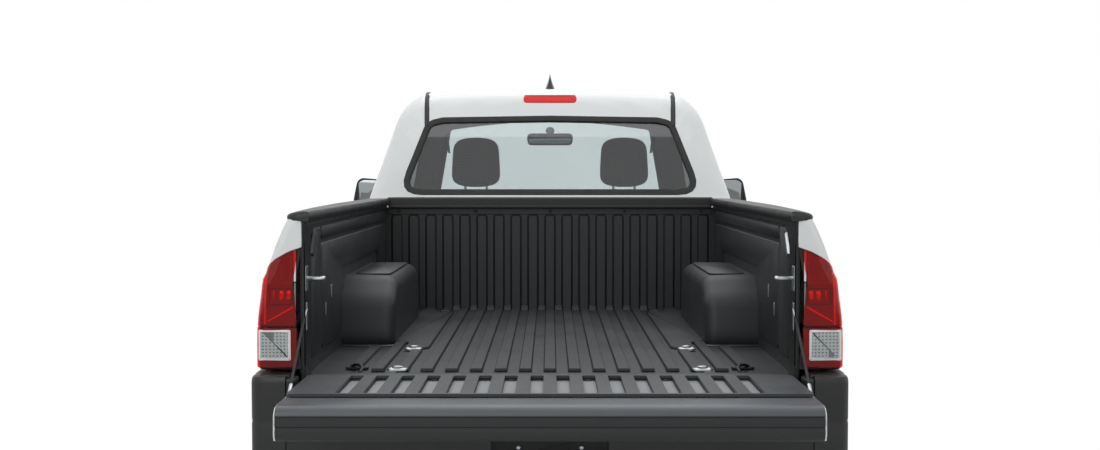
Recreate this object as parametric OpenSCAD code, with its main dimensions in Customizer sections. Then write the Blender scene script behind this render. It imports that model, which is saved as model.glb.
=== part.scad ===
// Extended-cab pickup truck with a six-foot load bed, a drop tailgate and rear-hinged access doors.
// Millimetres. +Z is up, the front of the truck faces -Y and +X is the driver's (left) side.
// Lengths are counted rearwards from the front axle; place() then centres the whole truck on Y.

/* [Overall] */
// Distance between the axles
wheelbase = 3235; // [3225:5:3245]
// Body width over the doors
body_w = 1794; // [1780:2:1800]
// Height of the roof at its middle
roof_z = 1785; // [1775:5:1800]
// Height of the side window sills
belt_z = 1262; // [1258:2:1266]

/* [Load bed] */
// Height of the load floor
floor_z = 810; // [805:1:815]
// Length of the load floor, from the headboard to the tailgate
bed_l = 1870; // [1860:5:1880]
// Width between the bed's side walls
bed_w = 1420; // [1400:5:1430]
// Width between the wheel housings
housing_gap = 1060; // [1040:5:1080]
// Height of the bed rails
rail_z = 1275; // [1270:1:1280]

/* [Wheels] */
// Outer diameter of the tyres
tyre_d = 774; // [760:2:780]
// Width of the tyres
tyre_w = 245; // [225:5:255]
// Distance between the wheel centres, side to side
track = 1600; // [1590:5:1610]
// Radius of the wheel arch openings
arch_r = 445; // [440:1:455]

/* [Hidden] */
tyre_r = tyre_d/2;
axle_z = tyre_r;
rim_r = 212;

// Side shape of the body
sill_z = 460;
wide_z = 880;
sill_tuck = 42;
shoulder_tuck = 97;
nose_taper_y = 300;
nose_taper = 95;
tail_taper_y = 3000;
tail_taper = 57;
flare = 48;
flare_r = 600;
lean = 0.31;

// Cab
cab_front_y = 400;
cab_rear_y = 2410;
door_front_y = 625;
door_split_y = 1676;
door_rear_y = 2200;
door_bottom_z = 505;
skin_t = 22;
glass_t = 5;
shut_gap = 8;
screen_base = [455, 1190];
screen_angle = 37.7;
screen_r = 3000;

// Bed and tailgate
bed_front_y = 2440;
floor_end_y = 4340;
headboard_y = floor_end_y - bed_l;
bed_rear_y = 4395;
gate_axis = [floor_end_y + 25, floor_z - 22];
gate_h = 485;
gate_t = 88;
gate_w = 1400;

// Nose
nose_y = -850;
bumper_y = -905;
hood_rear_y = 430;
hood_front_y = -775;

// Rear window's lower edge and its slope
rear_glass_base = [2352, 1272];
rear_glass_angle = atan2(1662 - 1272, 2230 - 2352);

// Chassis, steering and rear bumper fittings
rail_x = 440;
hub_r = 46;
tie_x = 618;
tie_y = 130;
steer_wheel = [365, 1030, 1070];
column_angle = -65;
ball_hole_r = 13.5;
plate_pitch = 178;

// Ends of the truck, used to centre it
tail_y = gate_axis[0] + gate_h;
mid_y = (bumper_y + tail_y)/2;

// ---------------------------------------------------------------- helpers

function sq(v) = v*v;
function smooth(t) = let (c = min(1, max(0, t))) c*c*(3 - 2*c);
function bezier(a, b, c, t) = sq(1 - t)*a + 2*t*(1 - t)*b + t*t*c;
function steps(a, b, n) = [for (i = [0:n]) a + (b - a)*i/n];

// Centres the truck on its length
module place() translate([0, -mid_y, 0]) children();

// One skin worked out as a single mesh, for shapes made of swept sections
module skin() resize([0, 0, 0]) union() children();

// Draws something on both sides
module both() {
    children();
    mirror([1, 0, 0]) children();
}

// A side-view outline (y, z) turned into a bar across x0..x1
module side_bar(x0, x1) translate([x0, 0, 0]) rotate([90, 0, 90]) linear_extrude(x1 - x0) children();

// A box from its two opposite corners
module block(a, b) translate(a) cube(b - a);

// A bar along X
module x_bar(x0, x1, y, z, r) translate([x0, y, z]) rotate([0, 90, 0])
    cylinder(r = r, h = x1 - x0, $fn = 48);

// A round bar between two points
module link(a, b, r) {
    d = b - a;
    translate(a) rotate([0, acos(d[2]/norm(d)), atan2(d[1], d[0])]) cylinder(r = r, h = norm(d), $fn = 32);
}

// Six times the volume inside a set of faces, positive where they run anticlockwise
function turn(p, f) =
    let (v = [for (t = f, i = [1:len(t) - 2]) p[t[0]]*cross(p[t[i]], p[t[i + 1]])]) v*[for (x = v) 1];

// A closed solid whose faces all turn the right way
module closed(p, f) polyhedron(
    points = p,
    faces = turn(p, f) > 0 ? [for (t = f) [for (i = [len(t) - 1:-1:0]) t[i]]] : f);

// A solid through a list of closed loops of equal length
module loft(loops) {
    n = len(loops[0]);
    m = len(loops);
    closed(
        [for (l = loops) each l],
        concat(
            [for (i = [0:m - 2], j = [0:n - 1]) let (a = i*n + j, b = i*n + (j + 1)%n)
                each [[a, a + n, b], [b, a + n, b + n]]],
            [[for (j = [0:n - 1]) j]],
            [[for (j = [n - 1:-1:0]) (m - 1)*n + j]]));
}

// A thick curved plate between two grids of points, rows by columns
module plate(a, b) {
    m = len(a);
    n = len(a[0]);
    k = m*n;
    closed(
        concat([for (r = a) each r], [for (r = b) each r]),
        concat(
            [for (i = [0:m - 2], j = [0:n - 2]) let (p = i*n + j)
                each [[p, p + n, p + 1], [p + 1, p + n, p + n + 1],
                    [k + p, k + p + 1, k + p + n], [k + p + 1, k + p + n + 1, k + p + n]]],
            [for (j = [0:n - 2]) let (p = (m - 1)*n + j)
                each [[j, j + 1, k + j], [j + 1, k + j + 1, k + j],
                    [p, k + p, p + 1], [p + 1, k + p, k + p + 1]]],
            [for (i = [0:m - 2]) let (p = i*n, q = i*n + n - 1)
                each [[p, k + p, p + n], [p + n, k + p, k + p + n],
                    [q, q + n, k + q], [q + n, k + q + n, k + q]]]));
}

// ---------------------------------------------------------------- body shape

// Half width of the plain body at height z
function wall_x(z) = z < wide_z
    ? body_w/2 - sill_tuck*sq((wide_z - z)/(wide_z - sill_z))
    : body_w/2 - shoulder_tuck*pow((z - wide_z)/(rail_z - wide_z), 2.2);

// How far the body draws in towards its nose and tail
function taper(y) =
    y < nose_taper_y ? -nose_taper*sq((nose_taper_y - y)/1000) :
    y > tail_taper_y ? -tail_taper*sq((y - tail_taper_y)/1400) : 0;

// How far a wheel arch stands out at (y, z)
function flare_at(y, z, axle_y) =
    flare*smooth((flare_r - norm([y - axle_y, z - axle_z]))/(flare_r - arch_r - 25));

function lower_x(y, z) = wall_x(z) + taper(y) + max(flare_at(y, z, 0), flare_at(y, z, wheelbase));

// Half width of the cab, windows included
function side_x(y, z) = z <= belt_z ? lower_x(y, z)
    : lower_x(y, belt_z) - (z - belt_z)*(lean
        + (y < 1300 ? 0.06*sq((1300 - y)/700) : 0)
        + (y > 1900 ? 0.05*sq((y - 1900)/450) : 0));

// Height of the roof's centre line
function roof_c(y) = roof_z - (y > 1650 ? 22 : 30)*sq((y - 1650)/600);

// Height of the hood's centre line
function hood_c(y) = let (t = (hood_rear_y - y)/1200) 1180 - 60*t - 85*pow(t, 4);

// Plan curve of the nose: how far back it is at x
function nose_back(x) = 75*pow(abs(x)/600, 2.4) + 110*pow(max(0, abs(x) - 560)/250, 2);

lower_zs = concat([sill_z], steps(560, belt_z, 12));

// Half section of the cab, drawn in by t, from its sill to the roof's middle
function cab_half(y, t) = let (zc = roof_c(y) - t)
    concat(
        [for (z = lower_zs) [side_x(y, z) - t, z]],
        [for (z = steps(belt_z + 90, zc - 125, 3)) [side_x(y, z) - t, z]],
        [for (k = steps(0, 1, 6), i = [0]) if (k > 0) bezier(
            [side_x(y, zc - 125) - t, zc - 125],
            [side_x(y, zc - 20) - t, zc - 20],
            [500, zc - 12], k)],
        [[250, zc - 3], [0, zc]]);

function both_sides(half) = concat(half, [for (i = [len(half) - 2:-1:0]) [-half[i][0], half[i][1]]]);
function at_y(y, pts) = [for (p = pts) [p[0], y, p[1]]];

// The cab's section, carried straight back
module cab_volume(t) translate([0, 2600, 0]) rotate([90, 0, 0]) linear_extrude(2300)
    polygon(both_sides(cab_half(1650, t)));

// Height of the nose's skin at (x, y), from the hood's middle out over the shoulder
function top_z(x, y) = let (zc = hood_c(y), u = abs(x)) u <= 600 ? zc - 38*sq(u/600)
    : let (zs = zc - 150, xa = side_x(y, zs), xb = side_x(y, zs + 90), a = xa - 2*xb + 600, b = 2*(xb - xa),
            k = (-b - sqrt(max(0, b*b - 4*a*(xa - u))))/(2*a))
        bezier(zs, zc - 42, zc - 38, k);

// Half width of the hood at y
function hood_x(y) = 690 + 0.06*(y - 430);

// Everything behind the nose's plan curve, set back by t
module behind_nose(t, z0, z1) translate([0, 0, z0]) linear_extrude(z1 - z0)
    polygon(concat(
        [for (x = steps(-900, 900, 24)) [x, nose_y + t + nose_back(x)]],
        [[900, 1000], [-900, 1000]]));

// Everything behind the curved windscreen surface, set back by t
module behind_screen(t) translate([0, screen_base[0], screen_base[1]]) rotate([screen_angle - 90, 0, 0])
    translate([0, screen_r, -600]) cylinder(r = screen_r - t, h = 3400, $fn = 180);

// Side view of the cab's rear: upright wall, sloping window and rounded header, set in by t
module cab_rear_profile(t) polygon(concat(
    [[300, 440], [cab_rear_y - t, 440], [cab_rear_y - t, 1262], [2352 - t, 1272], [2230 - t, 1662]],
    [for (k = steps(0, 1, 4))
        bezier([2222 - t, 1690 - t/2], [2205 - t, 1752 - t], [2080 - t, roof_c(2080) - t], k)],
    [for (y = [1850, 1650, 1450, 1250, 1050, 300]) [y, roof_c(y) - t]]));

// ---------------------------------------------------------------- cab

door_front_outline = [
    [door_front_y, door_bottom_z], [door_front_y, 1165], [762, 1246], [1322, 1664],
    [door_split_y - 4, 1672], [door_split_y - 4, door_bottom_z]];
door_rear_outline = [
    [door_split_y + 4, door_bottom_z], [door_split_y + 4, 1672], [2030, 1664], [2118, 1622],
    [2196, 1250], [door_rear_y, 900], [door_rear_y, 640], [door_rear_y - 60, door_bottom_z]];
window_front = [[826, belt_z + 4], [1338, 1634], [door_split_y - 42, 1638], [door_split_y - 42, belt_z + 4]];
window_rear = [[door_split_y + 60, belt_z + 4], [door_split_y + 60, 1636], [2015, 1630], [2074, 1600],
    [2140, belt_z + 4]];

module rounded(r) offset(r, $fn = 24) offset(-r, $fn = 24) children();

module door_opening(grow) offset(delta = grow) union() {
    polygon(door_front_outline);
    polygon(door_rear_outline);
    translate([door_split_y - 20, door_bottom_z]) square([40, 1664 - door_bottom_z]);
}

module screen_opening(grow) offset(delta = grow) rounded(60)
    polygon([[-690, 62], [-560, 800], [0, 818], [560, 800], [690, 62], [600, 38], [400, 16], [200, -6],
        [0, -12], [-200, -6], [-400, 16], [-600, 38]]);

// Places a flat outline on the windscreen's slope, x across and y up the slope
module on_screen(depth) translate([0, screen_base[0], screen_base[1]]) rotate([screen_angle, 0, 0])
    translate([0, 0, -depth]) linear_extrude(depth + 120) children();

// Places a flat outline on the rear window's slope, x across and y up it, between depths t1 and t0
module on_rear_window(t1, t0) translate([0, rear_glass_base[0], rear_glass_base[1]])
    rotate([rear_glass_angle, 0, 0]) mirror([0, 0, 1]) translate([0, 0, -t1]) linear_extrude(t1 - t0)
    children();

module rear_opening(grow) offset(delta = grow) rounded(45)
    polygon([[-668, 26], [-548, 362], [-480, 380], [0, 388], [480, 380], [548, 362], [668, 26]]);

module cab_shell() color("white") place() difference() {
    union() {
        // Hinge posts, behind the fenders
        both() block([700, 560, 460], [812, door_front_y - 9, 1072]);
        intersection() {
            cab_volume(0);
            side_bar(-950, 950) cab_rear_profile(0);
            behind_screen(0);
            union() {
                block([-950, door_front_y + 2, 460], [950, cab_rear_y + 5, 1716]);
                block([-742, 440, 1060], [742, door_front_y + 20, 1716]);
            }
        }
    }
    // Room for the hood's rear edge
    translate([0, 0, 1100]) linear_extrude(400) polygon(concat(
        [[-770, 618], [-703, 618]], [for (u = steps(-1, 1, 16)) [u*702, hood_back(u) + 10]],
        [[703, 618], [770, 618], [770, 300], [-770, 300]]));
    place_brake_lamp(18.5, 60);
    intersection() {
        cab_volume(58);
        side_bar(-950, 950) cab_rear_profile(58);
        behind_screen(58);
        block([-950, door_front_y - 30, 440], [950, cab_rear_y - 58, 1900]);
    }
    // Footwell opening below the scuttle, filled by the floor pressing
    block([-699, door_front_y - 40, 440], [699, door_front_y + 90, 1117]);
    block([-792, door_front_y + 60, 440], [792, cab_rear_y - 58, 560]);
    both() side_bar(600, 960) rounded(12) door_opening(6);
    difference() {
        on_screen(300) screen_opening(0);
        behind_screen(72);
    }
    on_rear_window(90, -60) rear_opening(0);
}

module roof_panel() color("white") place() difference() {
    intersection() {
        cab_volume(0);
        side_bar(-950, 950) cab_rear_profile(0);
        behind_screen(0);
        block([-950, 900, 1716.5], [950, cab_rear_y, 1900]);
    }
    intersection() {
        cab_volume(24);
        side_bar(-950, 950) cab_rear_profile(24);
        behind_screen(24);
        block([-950, 800, 1600], [950, cab_rear_y, 1900]);
    }
    place_brake_lamp(18.5, 60);
}

module cab_floor() color("dimgray") place() difference() {
    union() {
        block([-698, 587, 470], [698, 690, 505]);
        block([-790, 688, 470], [790, cab_rear_y - 60, 505]);
        block([-698, 587, 470], [698, 612, 1116]);
        block([-150, 560, 470], [150, 2000, 640]);
    }
    block([-118, 500, 440], [118, 2001, 606]);
    block([-118, 1990, 440], [118, 2001, 640]);
}

module windscreen() color([0.6, 0.7, 0.75, 0.5]) place() skin() intersection() {
    difference() {
        behind_screen(4);
        behind_screen(4 + glass_t);
    }
    on_screen(300) screen_opening(-3);
}

module rear_window() color([0.3, 0.33, 0.36, 0.6]) place() on_rear_window(9, 4) rear_opening(-3);

// One door: a thin outer skin over a deeper box that is set in from the shut lines
module door(outline, window) difference() {
    union() {
        intersection() {
            wall(0, 7, 480, 1700);
            side_bar(300, 1000) polygon(outline);
        }
        intersection() {
            union() {
                wall(6, 40, 480, 1700);
                wall(6, 100, 480, belt_z - 8);
            }
            side_bar(300, 1000) offset(delta = -28) polygon(outline);
        }
    }
    side_bar(400, 1000) rounded(25) polygon(window);
}

// The side wall of the cab between depths t0 and t1
module wall(t0, t1, z0, z1) {
    zs = concat(steps(z0, min(z1, belt_z), 10), z1 > belt_z ? [belt_z + 150, belt_z + 300, z1] : []);
    translate([0, 2300, 0]) rotate([90, 0, 0]) linear_extrude(1800) polygon(concat(
        [for (z = zs) [side_x(1650, z) - t0, z]],
        [for (i = [len(zs) - 1:-1:0]) [side_x(1650, zs[i]) - t1, zs[i]]]));
}

module door_front() color("white") place()
    door(door_front_outline, window_front);

module door_rear() color("white") place()
    door(door_rear_outline, window_rear);

module side_glass(window) intersection() {
    wall(18, 23, belt_z - 30, 1680);
    side_bar(300, 1000) rounded(25) offset(delta = -0.5) polygon(window);
}

// Front and rear door windows are on different doors, so each has its own node
module glass_front() color([0.6, 0.7, 0.75, 0.5]) place() side_glass(window_front);
module glass_rear() color([0.3, 0.33, 0.36, 0.6]) place() side_glass(window_rear);

module mirror_pod() color("black") place() difference() {
    union() {
    difference() {
        hull() {
            translate([962, 868, 1238]) rotate([90, 0, 0]) cylinder(r = 42, h = 20, $fn = 32);
            translate([1042, 868, 1242]) rotate([90, 0, 0]) cylinder(r = 40, h = 20, $fn = 32);
            translate([958, 868, 1320]) rotate([90, 0, 0]) cylinder(r = 36, h = 20, $fn = 32);
            translate([1026, 868, 1322]) rotate([90, 0, 0]) cylinder(r = 40, h = 20, $fn = 32);
            translate([990, 790, 1275]) sphere(42, $fn = 24);
            translate([1020, 800, 1275]) sphere(40, $fn = 24);
        }
        hull() {
            translate([962, 875, 1240]) rotate([90, 0, 0]) cylinder(r = 34, h = 14, $fn = 32);
            translate([1040, 875, 1244]) rotate([90, 0, 0]) cylinder(r = 32, h = 14, $fn = 32);
            translate([960, 875, 1316]) rotate([90, 0, 0]) cylinder(r = 30, h = 14, $fn = 32);
            translate([1024, 875, 1318]) rotate([90, 0, 0]) cylinder(r = 32, h = 14, $fn = 32);
        }
    }
    hull() {
        translate([790, 792, 1230]) cube([10, 60, 34]);
        translate([940, 800, 1244]) cube([10, 46, 30]);
    }
    }
    wall(-0.6, 60, 1200, 1300);
}

// ---------------------------------------------------------------- nose

module wheel_cut(axle_y) side_bar(400, 1000) translate([axle_y, axle_z]) circle(arch_r, $fn = 96);

// Rear edge of the hood, from -1 to 1 across it
function hood_back(u) = hood_rear_y + 110*pow(abs(u), 2.2);

// Grid of the hood's skin, lowered by t
function hood_grid(t) = [for (s = steps(0, 1, 12)) [for (u = steps(-1, 1, 16))
    let (yr = hood_back(u), yf = hood_front_y + 95*pow(abs(u), 3),
        y = yr + (yf - yr)*s, x = u*hood_x(y))
        [x, y, top_z(x, y) - t]]];

module hood() color("white") place() plate(hood_grid(0), hood_grid(26));

// Lowest edge of a front fender at y: over the headlamp, round the wheel arch and down to the sill
function fender_low(y) = y < -440 ? 985 + 0.04*(y + 440)
    : max(560, axle_z + sqrt(max(0, sq(arch_r) - sq(y))));

// Half width of the nose at (y, z), side and shoulder
function nose_x(y, z) = let (zc = hood_c(y), zs = zc - 150) z <= zs ? side_x(y, z)
    : bezier(side_x(y, zs), side_x(y, zs + 90), 600, (216 - sqrt(max(0, 46656 + 416*(zs - z))))/208);

// Grid of a front fender's skin, drawn in by t
function fender_grid(t) = [for (y = concat([-700, -600, -500, -442, -438], steps(-425, 425, 20),
        [438, 460, 520, 560, door_front_y - shut_gap]))
    let (yc = min(y, 560), xh = hood_x(y) + 7, z0 = fender_low(y), z1 = max(hood_c(yc) - 150, z0 + 8),
            x1 = nose_x(yc, z1) - side_x(yc, z1) + side_x(y, z1))
        concat(
            [for (z = steps(z0, z1, 8)) [nose_x(yc, z) - side_x(yc, z) + side_x(y, z) - t, y, z]],
            [for (k = steps(0, 1, 5)) if (k > 0)
                let (x = x1 + (xh - x1)*(1 - pow(1 - k, 2)))
                    [x - t*(1 - k), y, top_z(x, yc) - t*k]])];

module front_fenders() color("white") place() both() plate(fender_grid(0), fender_grid(skin_t));

// Grid of a headlamp's face, set in by t
function lamp_grid(t) = [for (w = steps(0, 1, 12)) [for (v = steps(0, 1, 4))
    let (z = (780 + 95*w)*(1 - v) + (962 + 8*w)*v,
        p = bezier([500, nose_y + nose_back(500) + 6], [side_x(-700, z) - 12, nose_y + nose_back(600) + 20],
            [side_x(-447, z) - 1, -447], w))
        [p[0] - t*(0.4 + 0.6*w), p[1] + 0.85*t*(1 - w), z]]];

module headlamps() color([0.85, 0.88, 0.9]) place() both() plate(lamp_grid(0), lamp_grid(80));

module grille() color([0.12, 0.12, 0.13]) place() skin() difference() {
    intersection() {
        behind_nose(-6, 640, 980);
        translate([0, nose_y + 120, 0]) rotate([90, 0, 0]) linear_extrude(300) rounded(30)
            polygon([[-445, 975], [-400, 720], [-330, 640], [330, 640], [400, 720], [445, 975]]);
    }
    behind_nose(50, 0, 2000);
}

module front_bumper() color([0.15, 0.15, 0.16]) place() skin() difference() {
    intersection() {
        behind_nose(bumper_y - nose_y, 350, 790);
        linear_extrude(1000) polygon([[-905, -445], [-905, -760], [-700, -960], [700, -960], [905, -760],
            [905, -445]]);
        union() {
            side_bar(-940, 940) polygon([[-960, 395], [-445, 470], [-445, 740], [-620, 772], [-960, 772]]);
        }
    }
    behind_nose(40, 0, 2000);
    translate([0, nose_y + 120, 0]) rotate([90, 0, 0]) linear_extrude(400)
        polygon([[-455, 985], [-410, 715], [-336, 630], [336, 630], [410, 715], [455, 985]]);
    // Lower air intake
    translate([0, nose_y + 200, 0]) rotate([90, 0, 0]) linear_extrude(400) rounded(25)
        polygon([[-420, 560], [-380, 450], [380, 450], [420, 560]]);
    both() wheel_cut(0);
}

// ---------------------------------------------------------------- load bed

module bed_tub() color([0.17, 0.18, 0.19]) place() difference() {
    union() {
        // Floor with lengthwise ribs
        block([-bed_w/2, headboard_y - 20, floor_z - 28], [bed_w/2, floor_end_y, floor_z - 8]);
        for (i = [-7:7])
            block([i*92 - 30, headboard_y + 20, floor_z - 9], [i*92 + 30, floor_end_y - 100, floor_z]);
        block([-bed_w/2, floor_end_y - 45, floor_z - 9], [bed_w/2, floor_end_y, floor_z]);
        // Headboard with upright ribs
        block([-bed_w/2, headboard_y - 24, floor_z - 20], [bed_w/2, headboard_y - 8, 1262]);
        for (i = [-8:8]) block([i*80 - 26, headboard_y - 9, floor_z + 10], [i*80 + 26, headboard_y, 1205]);
        // Side walls
        both() block([bed_w/2 - 2, headboard_y - 24, floor_z - 28], [bed_w/2 + 18, bed_rear_y - 6, 1262]);
        both() block([bed_w/2 - 12, headboard_y - 10, 1222], [bed_w/2, bed_rear_y - 60, 1262]);
        // Wheel housings
        both() side_bar(housing_gap/2, bed_w/2) housing_outline(0);
    }
    both() side_bar(housing_gap/2 + 10, bed_w/2 + 40) housing_outline(11);
    both() block([housing_gap/2 + 10, wheelbase - 400, floor_z - 60],
        [bed_w/2 + 40, wheelbase + 400, floor_z + 5]);
}

module housing_outline(t) polygon([
    [wheelbase - 470 + t, floor_z - 28 - t], [wheelbase - 440 + t, floor_z + 160],
    [wheelbase - 400 + t, floor_z + 222 - t], [wheelbase + 250 - t, floor_z + 222 - t],
    [wheelbase + 400 - t, floor_z + 90 - t], [wheelbase + 440 - t, floor_z - 28 - t]]);

module bed_sides() color("white") place() skin() both() difference() {
    loft([for (y = concat(steps(bed_front_y, wheelbase - 640, 4),
            steps(wheelbase - 540, wheelbase + 540, 14), steps(wheelbase + 640, bed_rear_y, 6)))
        let (zs = concat([560], steps(600, 1180, 10), [1230, 1262]))
            concat(
                [for (z = zs) [lower_x(y, z), y, z]],
                [[bed_w/2 + 20, y, 1262], [bed_w/2 + 20, y, 560]])]);
    wheel_cut(wheelbase);
    // Lower edge, swept up behind the wheel
    side_bar(600, 1000) polygon([[wheelbase + 300, 500], [bed_rear_y + 30, 500], [bed_rear_y + 30, 829],
        [4199, 829], [4190, 640], [wheelbase + 420, 585]]);
    // Pocket for the tail lamp
    tail_lamp_pocket(0);
}

module tail_lamp_pocket(g) hull() {
    block([724 - g, 4225, 838 - g], [980, 4500, 1120]);
    block([724 - g, 4290, 838 - g], [980, 4500, 1176 + g]);
}

module tail_lamps() color([0.55, 0.02, 0.04]) place() skin() both() intersection() {
    loft([for (y = steps(4200, 4432, 8))
        let (zs = steps(820, 1190, 8), in = y > 4330 ? 34*sq((y - 4330)/100) : 0)
            concat(
                [for (z = zs) [lower_x(y, z) + 4 - in, y, z]],
                [[700, y, 1190], [700, y, 820]])]);
    tail_lamp_pocket(-4);
}

module rail_caps() color([0.13, 0.13, 0.14]) place() union() {
    both() skin() loft([for (y = steps(bed_front_y, bed_rear_y, 10))
        let (x = lower_x(y, 1262))
            at_y(y, [[bed_w/2 - 4, 1263], [x + 2, 1263], [x + 1, 1270], [x - 14, 1278], [bed_w/2 + 8, 1281],
                [bed_w/2 - 4, 1276]])]);
    block([-bed_w/2 + 15, bed_front_y + 6, 1263], [bed_w/2 - 15, headboard_y + 14, 1288]);
    block([-bed_w/2 + 15, headboard_y + 2, 1224], [bed_w/2 - 15, headboard_y + 14, 1264]);
}

// The tailgate lies open: its inner face is up and its top edge points rearwards
module tailgate() color([0.14, 0.14, 0.15]) place() translate([0, gate_axis[0], gate_axis[1]]) difference() {
    union() {
        x_bar(-gate_w/2, gate_w/2, 0, 0, 14);
        block([-gate_w/2, 0, -gate_t + 20], [gate_w/2, gate_h - 60, 14]);
        side_bar(-gate_w/2, gate_w/2) polygon([[gate_h - 62, -gate_t + 22], [gate_h - 14, -gate_t + 10],
            [gate_h, -gate_t + 26], [gate_h, -4], [gate_h - 20, 12], [gate_h - 62, 14]]);
    }
    for (i = [-8:8]) translate([i*76 - 22, 40, 2]) cube([44, 130, 30]);
    // Pull handle recess in the outer face
    block([-110, gate_h - 190, -gate_t], [110, gate_h - 110, -gate_t + 50]);
}

// The straps run from the posts down to the open gate's edges
module tailgate_straps() color([0.1, 0.1, 0.1]) place() both() skin() hull() {
    translate([gate_w/2 + 3, bed_rear_y - 40, 1080]) cube([3, 16, 10]);
    translate([gate_w/2 + 3, gate_axis[0] + 250, gate_axis[1] - 8]) cube([3, 16, 10]);
}

module rear_bumper() color([0.16, 0.16, 0.17]) place() difference() {
    union() {
        block([-700, 4310, 560], [700, 4482, 690]);
        both() {
            hull() {
                translate([690, 4320, 562]) cube([10, 160, 128]);
                translate([800, 4420, 565]) cylinder(r = 48, h = 125, $fn = 32);
                translate([818, 4230, 600]) cylinder(r = 24, h = 90, $fn = 32);
            }
            hull() {
                translate([736, 4402, 680]) cube([10, 70, 142]);
                translate([800, 4420, 680]) cylinder(r = 48, h = 142, $fn = 32);
                translate([818, 4232, 680]) cylinder(r = 24, h = 142, $fn = 32);
                translate([736, 4402, 680]) cube([10, 10, 142]);
            }
        }
    }
    // Ball hole
    translate([0, 4440, 500]) cylinder(r = ball_hole_r, h = 300, $fn = 48);
    block([-600, 4300, 540], [600, 4420, 672]);
    block([-60, 4400, 540], [60, 4470, 672]);
    // Number plate recess
    block([-170, 4472, 572], [170, 4500, 660]);
    for (x = [-1, 1]) translate([x*plate_pitch/2, 4460, 616]) rotate([-90, 0, 0])
        cylinder(r = 3.5, h = 40, $fn = 32);
}

// ---------------------------------------------------------------- lights and small body parts

module place_brake_lamp(r, l) hull() both() translate([105, 2188, 1711]) rotate([-65, 0, 0])
    cylinder(r = r, h = l, $fn = 32);

module brake_lamp() color([0.7, 0.05, 0.1]) place() place_brake_lamp(17, 26);

module roof_antenna() color([0.2, 0.2, 0.2]) place() hull() {
    translate([-28, 1900, 1782.5]) cube([56, 2, 4]);
    translate([-28, 2060, 1776.5]) cube([56, 2, 6]);
    translate([-5, 2010, 1838]) cube([10, 36, 6]);
}

// ---------------------------------------------------------------- cabin

module dashboard() color([0.13, 0.13, 0.14]) place() difference() {
    side_bar(-690, 690) polygon([[613, 720], [613, 1050], [660, 1098], [800, 1150], [900, 1120], [905, 1040],
        [880, 900], [850, 800], [790, 720]]);
    translate([steer_wheel[0], steer_wheel[1], steer_wheel[2]]) rotate([column_angle, 0, 0])
        translate([0, 0, -200]) cylinder(r = 32, h = 178, $fn = 48);
}

module steering_wheel() color([0.1, 0.1, 0.1]) place() translate(steer_wheel)
        rotate([column_angle, 0, 0]) union() {
    rotate_extrude($fn = 64) translate([178, 0]) circle(15, $fn = 32);
    translate([0, 0, -34]) cylinder(r = 62, h = 40, $fn = 48);
    for (a = [-8, 188, 270]) rotate([0, 0, a]) translate([50, -18, -14]) cube([120, 36, 18]);
    translate([0, 0, -150]) cylinder(r = 24, h = 120, $fn = 32);
}

module seat(y) {
    hull() {
        block([-235, y - 250, 646], [235, y + 210, 700]);
        block([-250, y - 270, 690], [250, y + 220, 740]);
        block([-215, y - 230, 740], [215, y + 200, 765]);
    }
    hull() {
        block([-230, y + 190, 760], [230, y + 290, 790]);
        block([-195, y + 320, 1260], [195, y + 390, 1290]);
    }
    hull() {
        block([-118, y + 345, 1325], [118, y + 425, 1345]);
        block([-92, y + 370, 1505], [92, y + 435, 1520]);
    }
    both() translate([60, y + 380, 1280]) cylinder(r = 7, h = 60, $fn = 24);
    block([-190, y - 220, 506], [190, y + 180, 650]);
}

module seats() color([0.25, 0.26, 0.27]) place() both() {
    translate([355, 0, 0]) seat(1330);
    // Folding jump seats on the rear wall
    translate([360, 0, 0]) union() {
        block([-190, 2080, 720], [190, 2330, 790]);
        block([-190, 2240, 780], [190, 2330, 1190]);
        block([-150, 2120, 506], [150, 2300, 730]);
    }
}

// ---------------------------------------------------------------- chassis

module ladder_frame() color([0.08, 0.08, 0.08]) place() union() {
    both() {
        side_bar(rail_x - 32, rail_x + 32) polygon([
            [-765, 505], [-420, 500], [-300, 560], [240, 560], [520, 400], [2620, 400], [2800, 560],
            [3640, 590],
            [3900, 560], [4300, 560], [4300, 660], [3900, 690], [3560, 700], [2780, 690], [2600, 460],
            [560, 460], [300, 660], [-340, 660], [-460, 600], [-765, 595]]);
        // Mounts that carry the cab and the bed
        for (y = [700, 1500, 2300]) block([rail_x - 20, y - 40, 459], [rail_x + 60, y + 40, 470]);
        for (y = [2900, 3560, 4200]) block([rail_x - 30, y - 40, 600], [rail_x + 30, y + 40, floor_z - 28]);
        for (y = [640, 1500]) block([rail_x - 32, y - 28, 330], [rail_x + 20, y + 28, 401]);
    }
    for (y = [640, 1500]) x_bar(-rail_x, rail_x, y, 350, 20);
    x_bar(-rail_x, rail_x, -660, 550, 30);
    x_bar(-rail_x, rail_x, 2700, 530, 28);
    for (y = [3540, 4250]) x_bar(-rail_x, rail_x, y, 640, 28);
    both() block([rail_x - 32, 4290, 580], [rail_x + 32, 4419, 640]);
}

module rear_axle() color([0.07, 0.07, 0.07]) place() union() {
    x_bar(-640, 640, wheelbase, axle_z, 40);
    intersection() {
        translate([0, wheelbase, axle_z]) sphere(148, $fn = 64);
        block([-110, wheelbase - 200, 0], [110, wheelbase + 200, 800]);
    }
    translate([0, wheelbase - 120, axle_z]) rotate([90, 0, 0]) cylinder(r = 58, h = 110, $fn = 48);
    both() {
        x_bar(620, 735, wheelbase, axle_z, 150);
        x_bar(730, 752, wheelbase, axle_z, 78);
        x_bar(750, 792, wheelbase, axle_z, hub_r);
        // Spring pads
        translate([540, wheelbase, axle_z + 42]) cube([90, 160, 30], center = true);
    }
}

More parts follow.
